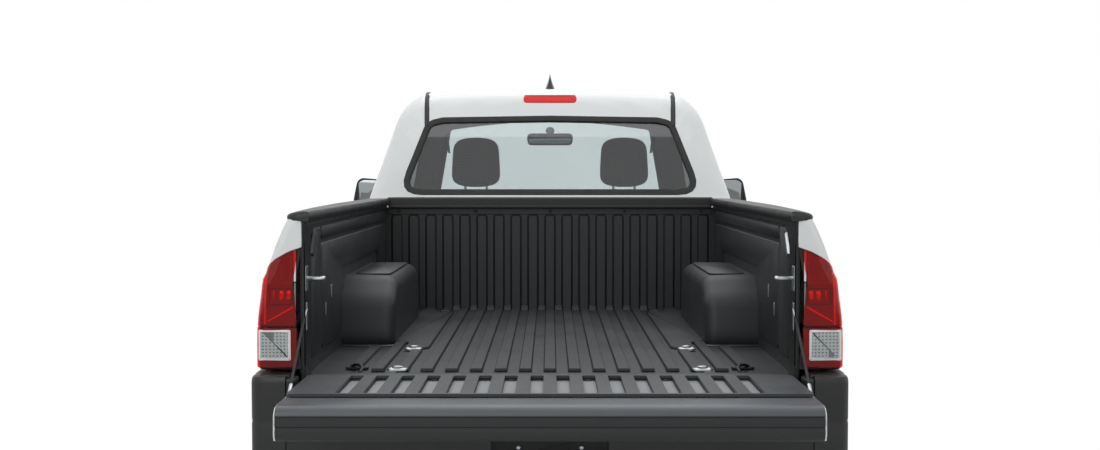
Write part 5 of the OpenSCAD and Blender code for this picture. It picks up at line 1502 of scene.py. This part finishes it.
lens_line = [(6, 8), (6, 172), (470, 172), (470, 8)]
for wing, flip in both_sides:
    pads(f"headlamp_{wing}_bezel", [divided(rounded([(0, 0), (0, 180), (474, 180), (474, 0)], 14), 20)],
        [(0, -60), (0, -12), (3, -6), (8, -8), (16, -40)], lamp_frame, "truck", gloss_black, flip=flip,
        cap=False)
    grid_piece(f"headlamp_{wing}_bowl", np.linspace(8, 466, 24), np.linspace(8, 172, 9),
        lambda u, v: lamp_frame(u, v, -42), "truck", dull_bowl, flip=flip)
    for i, (cx, cy, r) in enumerate(((120, 92, 62), (262, 100, 54))):
        ring = [(cx + r * math.cos(a), cy + r * math.sin(a)) for a in np.arange(28) * math.pi / 14]
        pads(f"headlamp_{wing}_reflector_{i}", [ring], [(-4, -41), (-3, -16), (0, -15), (5, -22),
            (r * 0.4, -36), (r * 0.75, -40)], lamp_frame, "truck", metal_bowl, flip=flip)
        ring = [(cx + 17 * math.cos(a), cy + 17 * math.sin(a)) for a in np.arange(20) * math.pi / 10]
        pads(f"headlamp_{wing}_bulb_cap_{i}", [ring], [(0, -40), (0, -22), (4, -18), (12, -16)], lamp_frame,
            "truck", metal_bowl, flip=flip)
    run = np.linspace(30, 440, 24)
    tube(f"headlamp_{wing}_guide", mirrored(lamp_frame(run, np.full(24, 20.0), -24), flip), 5, "truck",
        opal_guide, sides=8)
    amber = [(352, 40), (440, 46), (440, 140), (352, 132)]
    pads(f"headlamp_{wing}_turn_bowl", [divided(rounded(amber, 16), 20)], [(0, -40), (2, -16), (10, -30),
        (20, -34)], lamp_frame, "truck", metal_bowl, flip=flip)
    pads(f"headlamp_{wing}_lens", [divided(rounded(lens_line, 12), 24)], [(0, -9), (1, -2), (4, 0)],
        lamp_frame, "truck", clear_acrylic, flip=flip, cap=False)
    cover = grid_piece(f"headlamp_{wing}_cover", np.linspace(9, 467, 30), np.linspace(11, 169, 12),
        lambda u, v: lamp_frame(u, v, 0), "truck", clear_acrylic, flip=flip, slot="clear_lens")
    if not flip:
        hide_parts("headlamps")


# ---------------------------------------------------------------- rear bumper
# A folded steel bar under moulded black covers: two corner pads, a step with raised treads, a recess
# for the blank plate and a hole for the tow ball.
def band(name, path, section, body, *materials, slot=None, sharp=35, flip=False):
    """A moulding that follows a plan path (x, y); its section is (inwards, z)."""
    path = np.asarray(path, float)
    way = unit(np.gradient(path, axis=0))
    inward = spots(-way[:, 1], way[:, 0])
    rings = []
    for p, n in zip(path, inward):
        rings.append([(p[0] + n[0] * d, p[1] + n[1] * d, z) for d, z in section])
    if flip:
        rings = [[(-x, y, z) for x, y, z in r][::-1] for r in rings]
    return stacked(name, rings, body, *materials, slot=slot, sharp=sharp)


corner = [(842, 4226), (846, 4270), (848, 4330), (847, 4390), (843, 4420)]
corner += [(806 + 38 * math.cos(a), 4438 + 40 * math.sin(a)) for a in np.linspace(0.15, 1.45, 8)]
corner += [(790, 4479), (764, 4480), (742, 4480)]
pad_section = [(0, 580), (1, 570), (6, 566), (46, 566), (46, 815), (12, 821), (5, 818), (1.2, 811), (0, 800),
    (0, 700), (1.5, 690), (0, 684)]
for wing, flip in both_sides:
    pad = band(f"rear_bumper_corner_{wing}", corner, pad_section, "truck", black_moulding,
        slot="black_plastic", flip=flip)
    if not flip:
        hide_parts("rear_bumper")
    lump(f"rear_bumper_corner_top_{wing}", (736, 4240, 800), (812, 4446, 819), "truck", black_moulding,
        round_by=5, flip=flip)
    lump(f"rear_bumper_corner_step_{wing}", (716, 4400, 566), (744, 4474, 812), "truck", black_moulding,
        round_by=6, flip=flip)
bumper_face_y = 4481
plate_gap = rounded(oblong(-168, 573, 168, 659), 6)
ball_hole = [(15 * math.cos(a), 4440 + 15 * math.sin(a)) for a in np.arange(24) * math.pi / 12]
pressing("rear_bumper_face", rounded(oblong(-740, 566, 740, 686), 8), [plate_gap],
    lambda u, v: spots(u, bumper_face_y - 0.00001 * u * u, v), "truck", post_black, post_black, step=40,
    thick=6, edge=4)
pressing("rear_bumper_step", rounded(oblong(-740, 4318, 740, 4476), 8), [ball_hole],
    lambda u, v: spots(u, v, 688.0 + 0 * u), "truck", post_black, post_black, step=40, thick=10, edge=3)
treads = [rounded(oblong(x - 30, 4350 + 22 * j, x + 30, 4358 + 22 * j), 3, 4) for x in (-620, -540, -460,
    -380, -300, 300, 380, 460, 540, 620) for j in range(5)]
pads("rear_bumper_treads", treads, [(0, 0), (0, 2), (1.4, 3.2)], lambda u, v, up: spots(u, v, 689.5 + up),
    "truck", rubber_seal)
# The plate recess is lined with the near-black painted shade.
pads("rear_plate_recess", [plate_gap], [(-3, -5), (-1, -6), (2, -22), (6, -24)],
    lambda u, v, up: spots(u, bumper_face_y + up, v), "truck", painted_shade_black)
for i, x in enumerate((-89, 89)):
    disc(f"rear_plate_screw_{i}", (x, 616), 6, [(1, -24), (0.9, -21), (0.5, -20), (0.2, -20.6)],
        lambda u, v, up: spots(u, bumper_face_y + up, v), "truck", zinc_plate)
for i, x in enumerate((-205, 205)):
    lump(f"plate_lamp_{i}", (x - 22, 4462, 664), (x + 22, 4480, 682), "truck", clear_acrylic, round_by=3)


# ---------------------------------------------------------------- tyres and wheels
# Radial tyres with blocky tread stand on six-spoke cast aluminium wheels, each held by six nuts.
# A ventilated brake disc shows behind the front spokes.
tyre_r, half_track = 387.0, 800.0


def turned_form(name, profile, centre, sign, body, *materials, count=96, slot=None, sharp=30, slots=None):
    """A form turned about the wheel's axis from (distance outwards, radius) points; sign is its side."""
    rings = [spots(np.full(count, (centre[0] + sign * out)), centre[1] + r * np.cos(np.arange(count) * 2 *
        math.pi / count), centre[2] + r * np.sin(np.arange(count) * 2 * math.pi / count))
        for out, r in profile]
    faces = [(j * count + i, j * count + (i + 1) % count, (j + 1) * count + (i + 1) % count,
        (j + 1) * count + i) for j in range(len(profile) - 1) for i in range(count)]
    return piece(name, np.concatenate(rings), faces, body, *materials, sharp=sharp, slot=slot, slots=slots)


# Vulcanised rubber: charcoal black, matt, with a dusty bloom on the sidewall
tyre_rubber = finish("vulcanised_tyre_rubber", "#141516", "#1f2021", 90, 5, 0.25, (0.6, 0.78), IOR=1.52)
# Cast aluminium, machined bright and lacquered; the barrel stays in grey wheel paint
cast_alloy = finish("lacquered_cast_aluminium", "#a9adb0", "#bfc3c6", 70, 6, 0.1, (0.24, 0.34), Metallic=1.0)
barrel_paint = finish("grey_wheel_barrel_paint", "#6d7073", "#7c7f82", 60, 6, 0.1, (0.4, 0.5), IOR=1.5)
disc_steel = finish("scored_grey_iron_disc", "#6b6d6f", "#858789", 12, 3, 0.15, (0.35, 0.5), Metallic=1.0)
side_profile = [(-100.5, 212), (-104, 216), (-108, 222), (-118.5, 252), (-121, 278), (-122.3, 302),
    (-121.5, 318), (-119, 336), (-115, 344), (-113.5, 345), (-113, 351), (-110, 354), (-101, 371),
    (-92, 378), (-74, 379.5)]
tyre_profile = side_profile + [(-40, 380), (0, 380), (40, 380)] + [(-a, r) for a, r in side_profile[::-1]]
window = [(92, -13), (112, -28), (150, -48), (180, -64), (190, -57), (196, 0), (190, 57), (180, 64),
    (150, 48), (112, 28), (92, 13), (86, 0)]


def dish(r):
    """How far outwards from the wheel's middle plane the spoke face stands at radius r."""
    return np.interp(r, [0, 52, 62, 74, 92, 130, 165, 186, 197, 204], [16, 16, 17, 20, 24, 37, 50, 60, 68,
        74])


for end, axle in (("front", 0), ("rear", wheelbase)):
    for wing, sign in (("left", 1), ("right", -1)):
        body = f"{wing}_{end}_wheel"
        hub = (sign * half_track, float(axle), axle_z)
        tyre = turned_form(f"tyre_{end}_{wing}_carcass", tyre_profile, hub, sign, body, tyre_rubber,
            count=120, slot="tyre_rubber", sharp=45)
        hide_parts(f"tyre_{end}_{wing}")
        blocks, pitch = [], 2 * math.pi / 52
        for k in range(52):
            a = k * pitch * tyre_r
            w = pitch * tyre_r
            zig = 5 if k % 2 else -5
            blocks += [[(a + 4, -24 + zig), (a + w - 5, -20 + zig), (a + w - 3, 20 + zig),
                (a + 6, 24 + zig)], [(a + 1, 31 + zig), (a + w - 6, 33 + zig), (a + w - 4, 66), (a + 3, 66)],
                [(a + 3, -66), (a + w - 4, -66), (a + w - 6, -33 + zig), (a + 1, -31 + zig)],
                [(a + 5, 73), (a + w - 3, 73), (a + w - 2, 101), (a + 6, 101)],
                [(a + 6, -101), (a + w - 2, -101), (a + w - 3, -73), (a + 5, -73)]]

        def on_tread(u, v, up, hub=hub, sign=sign):
            r = tyre_r + up - 9 * (np.abs(v) / 101) ** 4
            return spots(hub[0] + sign * v, hub[1] + r * np.cos(u / tyre_r), hub[2] + r * np.sin(u / tyre_r))
        # The walls of the tread blocks take the near-black painted shade.
        pads(f"tyre_{end}_{wing}_tread", blocks, [(0, -9), (0.4, -1.4), (1.6, 0)], on_tread, body,
            tyre_rubber, painted_shade_black, walls=(0,), slot="tyre_rubber")
        lugs = [[(a + 2, 347), (a + 12, 347), (a + 9, 366), (a + 4, 366)]
            for a in np.arange(52) * pitch * tyre_r]
        for face in (1, -1):
            def on_shoulder(u, v, up, hub=hub, face=face):
                out = np.interp(v, [345, 366], [114.5, 104]) + up
                return spots(hub[0] + face * out, hub[1] + v * np.cos(u / tyre_r),
                    hub[2] + v * np.sin(u / tyre_r))
            pads(f"tyre_{end}_{wing}_lugs_{'in' if face * sign < 0 else 'out'}", lugs,
                [(0, -1), (0, 1), (1, 2.4)], on_shoulder, body, tyre_rubber, slot="tyre_rubber")

        def on_dish(u, v, hub=hub, sign=sign):
            return spots(hub[0] + sign * dish(np.hypot(u, v)), hub[1] + u, hub[2] + v)
        holes = []
        for k in range(6):
            c, s = math.cos(math.radians(60 * k + 30)), math.sin(math.radians(60 * k + 30))
            holes.append(rounded([(x * c - y * s, x * s + y * c) for x, y in window], 8, 3))
        circle = [(203 * math.cos(a), 203 * math.sin(a)) for a in np.arange(72) * math.pi / 36]
        face = pressing(f"wheel_{end}_{wing}_spokes", circle, holes, on_dish, body, cast_alloy, barrel_paint,
            step=11, thick=18, edge=3.5, slot="wheel_alloy")
        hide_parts(f"rim_{end}_{wing}")
        turned_form(f"wheel_{end}_{wing}_lip", [(60, 203), (72, 204), (86, 206), (95, 210), (100, 214),
            (101.5, 218), (99, 221), (94, 219), (90, 213), (60, 211.5), (-60, 206), (-100, 211)], hub, sign,
            body, cast_alloy, slot="wheel_alloy", sharp=50)
        turned_form(f"wheel_{end}_{wing}_barrel", [(72, 203), (55, 197), (20, 192), (-60, 190), (-92, 200),
            (-99, 210)], hub, sign, body, barrel_paint, sharp=50)
        turned_form(f"wheel_{end}_{wing}_cap", [(10, 46), (30, 46), (34, 44), (36, 40), (37.5, 30),
            (38.5, 12), (38.7, 0.5)], hub, sign, body, cast_alloy, count=40, sharp=40)
        turned_form(f"wheel_{end}_{wing}_disc", [(-42, 70), (-42, 158), (-30, 158), (-30, 70)], hub, sign,
            body, disc_steel, count=64, sharp=40)
        turned_form(f"wheel_{end}_{wing}_hub", [(-44, 30), (-44, 72), (-2, 74), (2, 66), (2, 2)], hub, sign,
            body, disc_steel, count=40, sharp=40)
        for k in range(6):
            a = math.radians(60 * k)
            centre = (hub[0], hub[1] + 62 * math.cos(a), hub[2] + 62 * math.sin(a))
            turned_form(f"wheel_{end}_{wing}_nut_{k}", [(10, 15), (16.5, 15), (17.5, 11.5), (18, 10.4),
                (33, 10.4), (35.5, 8.6), (37, 5), (37.3, 0.4)], centre, sign, body, zinc_plate, count=12,
                sharp=30)
        a = math.radians(60)
        foot = np.array([hub[0] + sign * 66, hub[1] + 190 * math.cos(a), hub[2] + 190 * math.sin(a)])
        tip = np.array([hub[0] + sign * 92, hub[1] + 172 * math.cos(a), hub[2] + 172 * math.sin(a)])
        tube(f"wheel_{end}_{wing}_valve", [foot, (foot + tip) / 2, tip], 3.4, body, rubber_seal, sides=8)


# ---------------------------------------------------------------- door mirrors and handles
# Folding mirrors on black moulded arms, each with a heated flat glass; pull handles painted in place.
for wing, flip in both_sides:
    body = f"{wing}_front_door"
    glass_line = [(958, 1214), (1050, 1217), (1054, 1338), (1026, 1352), (958, 1350), (944, 1336),
        (944, 1228)]
    pads(f"mirror_{wing}_glass", [rounded(glass_line, 18, 5)], [(0, -9), (0, -1), (1, 0.4), (5, 1)],
        lambda u, v, up: spots(u, 879 + up, v), body, mirror_pane, flip=flip)
    cup = rounded([(1498, 1052), (1622, 1046), (1626, 1112), (1502, 1116)], 26)
    pads(f"door_handle_cup_{wing}", [divided(cup, 14)], [(0, 0.2), (3, 0.6), (5, 0.3), (24, -0.2)],
        lambda u, v, up: flat_side(-up)(u, v), body, white_enamel, flip=flip)
    y = np.linspace(1490, 1634, 17)
    bow = side(y, 1088) + 5 + 19 * np.sin(np.clip((y - 1490) / 144, 0, 1) * math.pi) ** 0.5
    tube(f"door_handle_{wing}", mirrored(spots(bow, y, 1088 - 0.05 * (y - 1560)), flip), 11, body,
        white_enamel, sides=14, flat=0.9, slot="body_paint")
    disc(f"door_lock_{wing}", (1648, 1086), 8, [(1, 0), (0.95, 2), (0.7, 2.8), (0.2, 2.9)],
        lambda u, v, up: flat_side(-up)(u, v), body, zinc_plate, flip=flip)


# ---------------------------------------------------------------- seats
# Two bucket seats of moulded foam under woven polyester, sewn in panels with piped edges, on slides;
# two small folding seats stand against the back wall. Sunk seams part the panels.
seat_cloth = bpy.data.materials.new("woven_polyester_seat_cloth")
seat_cloth.use_nodes = True
tree = seat_cloth.node_tree
shader = tree.nodes["Principled BSDF"]
shader.inputs["Roughness"].default_value = 0.92
shader.inputs["Sheen Weight"].default_value = 0.35
shader.inputs["Specular IOR Level"].default_value = 0.25
where = add(tree, "TexCoord").outputs["Object"]
# Threads of about 1 mm, drawn 7 mm wide so that the weave still shows through the glass
warp = add(tree, "TexWave", {"Vector": where, "Scale": 22.0, "Distortion": 0.6}, bands_direction="X")
weft = add(tree, "TexWave", {"Vector": where, "Scale": 22.0, "Distortion": 0.6}, bands_direction="Z")
weave = add(tree, "Math", {0: warp.outputs["Fac"], 1: weft.outputs["Fac"]}, operation="MULTIPLY")
tone = add(tree, "Mix", {"Factor": weave.outputs[0], 6: srgb("#26282a"), 7: srgb("#3a3d40")},
    data_type="RGBA")
bump = add(tree, "Bump", {"Height": weave.outputs[0], "Distance": 0.0012})
tree.links.new(tone.outputs[2], shader.inputs["Base Color"])
tree.links.new(bump.outputs[0], shader.inputs["Normal"])


def cushion(name, ring_at, steps, body="truck"):
    """A padded form from ring_at(t), each ring a soft-cornered outline of 40 points."""
    made = stacked(name, [ring_at(t) for t in steps], body, seat_cloth, sharp=70, slot="seat_cloth")
    return made


def soft_ring(half_a, half_b, power=0.55):
    a = np.arange(40) * math.pi / 20
    c, s = np.cos(a), np.sin(a)
    return np.sign(c) * np.abs(c) ** power * half_a, np.sign(s) * np.abs(s) ** power * half_b


def crown(t, sharpness=0.5):
    return max(0.02, 1 - abs(2 * t - 1) ** 6) ** sharpness


ends = [0, 0.004, 0.015, 0.04, 0.08, 0.14, 0.22, 0.32, 0.42, 0.5, 0.58, 0.68, 0.78, 0.86, 0.92, 0.96, 0.985,
    0.996, 1]
for wing, s in (("left", 1), ("right", -1)):
    cx = 360 * s

    def seat_base(t):
        a, b = soft_ring(246 * crown(t, 0.25), 60 * crown(t))
        wing_up = 26 * smooth((np.abs(a) - 150) / 60) * (b > 0)
        seam = -7 * np.exp(-((np.abs(a) - 148) / 9) ** 2) * (b > 0)
        return spots(cx + a, np.full(40, 1055 + 500 * t), 706 + b + wing_up + seam - 34 * t)

    def seat_back(t):
        wide = 246 - 20 * t - 96 * max(0, t - 0.72) ** 1.4 * 4
        a, b = soft_ring(wide * crown(t, 0.3), (72 - 16 * t) * crown(t))
        wing_up = -24 * smooth((np.abs(a) - 140) / 60) * (b < 0)
        seam = 7 * np.exp(-((np.abs(a) - 138) / 9) ** 2) * (b < 0)
        return spots(cx + a, 1556 + 165 * t + b + wing_up + seam, np.full(40, 640 + 655 * t))

    def headrest(t):
        a, b = soft_ring(121 * crown(t, 0.42) * (1 - 0.1 * t), 44 * crown(t), 0.7)
        return spots(cx + a, 1722 + b - 14 * t, np.full(40, 1322 + 240 * t))

    def jump_base(t):
        a, b = soft_ring(188 * crown(t, 0.3), 34 * crown(t))
        return spots(cx + a, np.full(40, 2082 + 240 * t), 752 + b)

    def jump_back(t):
        a, b = soft_ring(188 * crown(t, 0.3), 40 * crown(t))
        return spots(cx + a, 2288 + b, np.full(40, 790 + 396 * t))

    base = cushion(f"seat_{wing}_cushion", seat_base, ends)
    cushion(f"seat_{wing}_back", seat_back, ends)
    cushion(f"seat_{wing}_headrest", headrest, ends)
    cushion(f"jump_seat_{wing}_cushion", jump_base, ends)
    cushion(f"jump_seat_{wing}_back", jump_back, ends)
    if s > 0:
        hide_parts("seats")
    for x in (-52, 52):
        tube(f"headrest_post_{wing}_{'a' if x < 0 else 'b'}", [(cx + x, 1712, 1270), (cx + x, 1716, 1345)],
            6, "truck", zinc_plate, sides=10)
    lump(f"seat_{wing}_pan", (cx - 215, 1085, 600), (cx + 215, 1530, 652), "truck", trim_moulding,
        round_by=14)
    for x in (-180, 180):
        lump(f"seat_slide_{wing}_{'a' if x < 0 else 'b'}", (cx + x - 18, 1100, 508),
            (cx + x + 18, 1560, 606), "truck", post_black, round_by=4)
    lump(f"jump_seat_{wing}_box", (cx - 150, 2110, 506), (cx + 150, 2300, 722), "truck", trim_moulding,
        round_by=10)
    belt = [(s * 700, 2020, 1480), (s * 672, 1900, 1300), (s * 640, 1760, 1000), (s * 620, 1640, 700)]
    tube(f"seat_belt_{wing}", belt, 22, "truck", rubber_seal, sides=8, flat=0.08, up=(1, 0, 0.3))


# ---------------------------------------------------------------- dashboard and controls
# A slush-moulded soft dashboard with an instrument hood and a centre stack; the steering wheel is
# foam over a steel ring, on a column that leans back.
def dash_ring(x):
    line = np.array([(628, 1128), (660, 1146), (720, 1150), (790, 1146), (848, 1130), (876, 1098),
        (880, 1050), (862, 1000), (856, 950), (874, 900), (900, 850), (896, 790), (868, 744), (820, 724),
        (640, 722), (622, 760), (618, 900), (620, 1080)], float)
    hood = math.exp(-((x - 365) / 150) ** 4)
    stack = math.exp(-(x / 150) ** 6)
    line[2:6, 1] += np.array([4, 20, 26, 10]) * hood
    line[5:9, 0] += 14 * stack
    line[6:8, 0] -= 34 * hood
    return spots(np.full(len(line), x), line[:, 0] - 14 * (abs(x) / 690) ** 2, line[:, 1])


# Slush-moulded skin: soft matt black with a leathery grain
soft_skin = finish("slush_moulded_soft_skin", "#1e2021", "#292b2d", 120, 6, 0.4, (0.55, 0.68), IOR=1.5)
dash = stacked("dashboard_moulding", [dash_ring(x) for x in np.linspace(-685, 685, 47)], "truck", soft_skin,
    slot="trim_grey", sharp=60)
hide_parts("dashboard")
lump("centre_stack", (-120, 872, 800), (120, 894, 1078), "truck", gloss_black, round_by=9)
for i, x in enumerate((-66, 0, 66)):
    disc(f"heater_knob_{i}", (x, 850), 22, [(1, 0), (0.95, 16), (0.85, 19), (0.3, 19.4)],
        lambda u, v, up: spots(u, 892 + up, v), "truck", trim_moulding)
for i, x in enumerate((-600, -190, 190, 600)):
    vent = rounded(oblong(x - 52, 1016, x + 52, 1074), 12)
    # The vent's throat takes the near-black painted shade.
    pads(f"air_vent_{i}", [vent], [(0, -6), (0, 4), (3, 6), (8, 5), (9, -10)],
        lambda u, v, up: spots(u, 880 + up, v), "truck", trim_moulding, painted_shade_black, walls=(3,))
lump("cabin_console", (-105, 905, 560), (105, 1500, 690), "truck", trim_moulding, round_by=22, segments=4)
tube("gear_lever", [(0, 1080, 680), (0, 1062, 800)], 7, "truck", post_black)
tube("gear_knob", [(0, 1063, 795), (0, 1058, 838)], 22, "truck", soft_skin, sides=16)


def on_column(u, v, up):
    return spots(365 + u, 1030 - 0.423 * v + 0.906 * up, 1070 + 0.906 * v + 0.423 * up)


a = np.arange(60) * math.pi / 30
rim = tube("steering_wheel_rim", on_column(178 * np.cos(a), 178 * np.sin(a), 0 * a), 14.5, "hand_wheel",
    soft_skin, closed=True, sides=14, up=(0, 0.906, 0.423))
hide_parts("steering_wheel")
pads("steering_wheel_pad", [rounded([(-70, -62), (70, -62), (88, 26), (60, 52), (-60, 52), (-88, 26)], 24)],
    [(0, -22), (0, 2), (6, 10), (20, 16), (40, 18)], on_column, "hand_wheel", soft_skin)
for i, (deg, reach) in enumerate(((8, 172), (172, 172), (270, 172))):
    r = np.linspace(50, reach, 7)
    c, s = math.cos(math.radians(deg)), math.sin(math.radians(deg))
    tube(f"steering_wheel_spoke_{i}", on_column(r * c, r * s, -10 + 10 * (r - 50) / 120), 15, "hand_wheel",
        trim_moulding, sides=10, flat=0.4, up=(0, 0.906, 0.423))
tube("steering_column", on_column(np.zeros(3), np.zeros(3), np.array([-30.0, -130, -300])), [30, 34, 36],
    "hand_wheel", trim_moulding, sides=18)
# Cabin mirror on a stalk bonded to the windscreen
mirror_line = rounded([(-120, 1538), (120, 1538), (124, 1602), (-124, 1602)], 26)
pads("cabin_mirror", [mirror_line], [(14, -26), (0, -14), (0, 0), (3, 2), (6, 1.5), (60, 1.5)],
    lambda u, v, up: spots(u, 1062 + up, v), "truck", trim_moulding)
pads("cabin_mirror_glass", [shrunk(mirror_line, 7, 0)], [(0, 1), (0, 2.4), (2, 2.8)],
    lambda u, v, up: spots(u, 1062 + up, v), "truck", mirror_pane)
tube("cabin_mirror_stalk", [(0, 1046, 1590), (0, 1020, 1622), (0, 1012, 1618)], [9, 11, 24], "truck",
    trim_moulding)


# ---------------------------------------------------------------- frame, axles and running gear
# Below the body everything is black-painted or bare metal: rolled channel frame, forged axle and
# springs, cast engine block, blow-moulded tank and a welded exhaust. These keep the CAD's shapes.
# Chassis black: a thick dipped paint, slightly orange-peeled, with road dust
chassis_paint = finish("dipped_chassis_paint", "#121313", "#232424", 160, 8, 0.2, (0.45, 0.65), IOR=1.5)
# Spring and axle steel: painted forgings, drier and rougher, browned along their edges
forged_steel = finish("painted_forged_steel", "#171615", "#2b2724", 70, 5, 0.4, (0.6, 0.8), IOR=1.5)
# Sand-cast aluminium: pale grey with a coarse skin
sand_cast = finish("sand_cast_aluminium", "#7f8284", "#9b9ea0", 50, 3, 0.6, (0.5, 0.65), Metallic=1.0)
# Cast iron knuckles: dark, granular
cast_iron = finish("granular_cast_iron", "#2e2c2a", "#403c38", 40, 3, 0.6, (0.6, 0.75), Metallic=0.7)
# Blow-moulded polyethylene tank: waxy black
waxy_tank = finish("blow_moulded_polyethylene", "#141515", "#1e1f1f", 200, 12, 0.4, (0.42, 0.55), IOR=1.54)
# Aluminised exhaust steel: dull silver, straw-brown where it has been hot
exhaust_steel = finish("aluminised_exhaust_steel", "#8a7f72", "#a9a6a0", 220, 9, 0.3, (0.38, 0.55),
    Metallic=1.0)
# Needle-felt carpet on the cab floor
felt_carpet = finish("needle_felt_carpet", "#1d1e1f", "#2a2b2c", 60, 4, 1.2, (0.92, 0.99), IOR=1.45)
for node, surface in (("ladder_frame", chassis_paint), ("rear_axle", forged_steel),
        ("leaf_springs", forged_steel), ("propshaft", chassis_paint), ("front_suspension", chassis_paint),
        ("engine_block", sand_cast), ("fuel_tank", waxy_tank), ("exhaust", exhaust_steel),
        ("spare_wheel", tyre_rubber), ("cab_floor", felt_carpet), ("knuckle_left", cast_iron),
        ("knuckle_right", cast_iron), ("steering_rack", sand_cast), ("mirror_left", black_moulding),
        ("mirror_right", black_moulding)):
    for place_in in bpy.data.objects[node].material_slots:
        place_in.material = surface
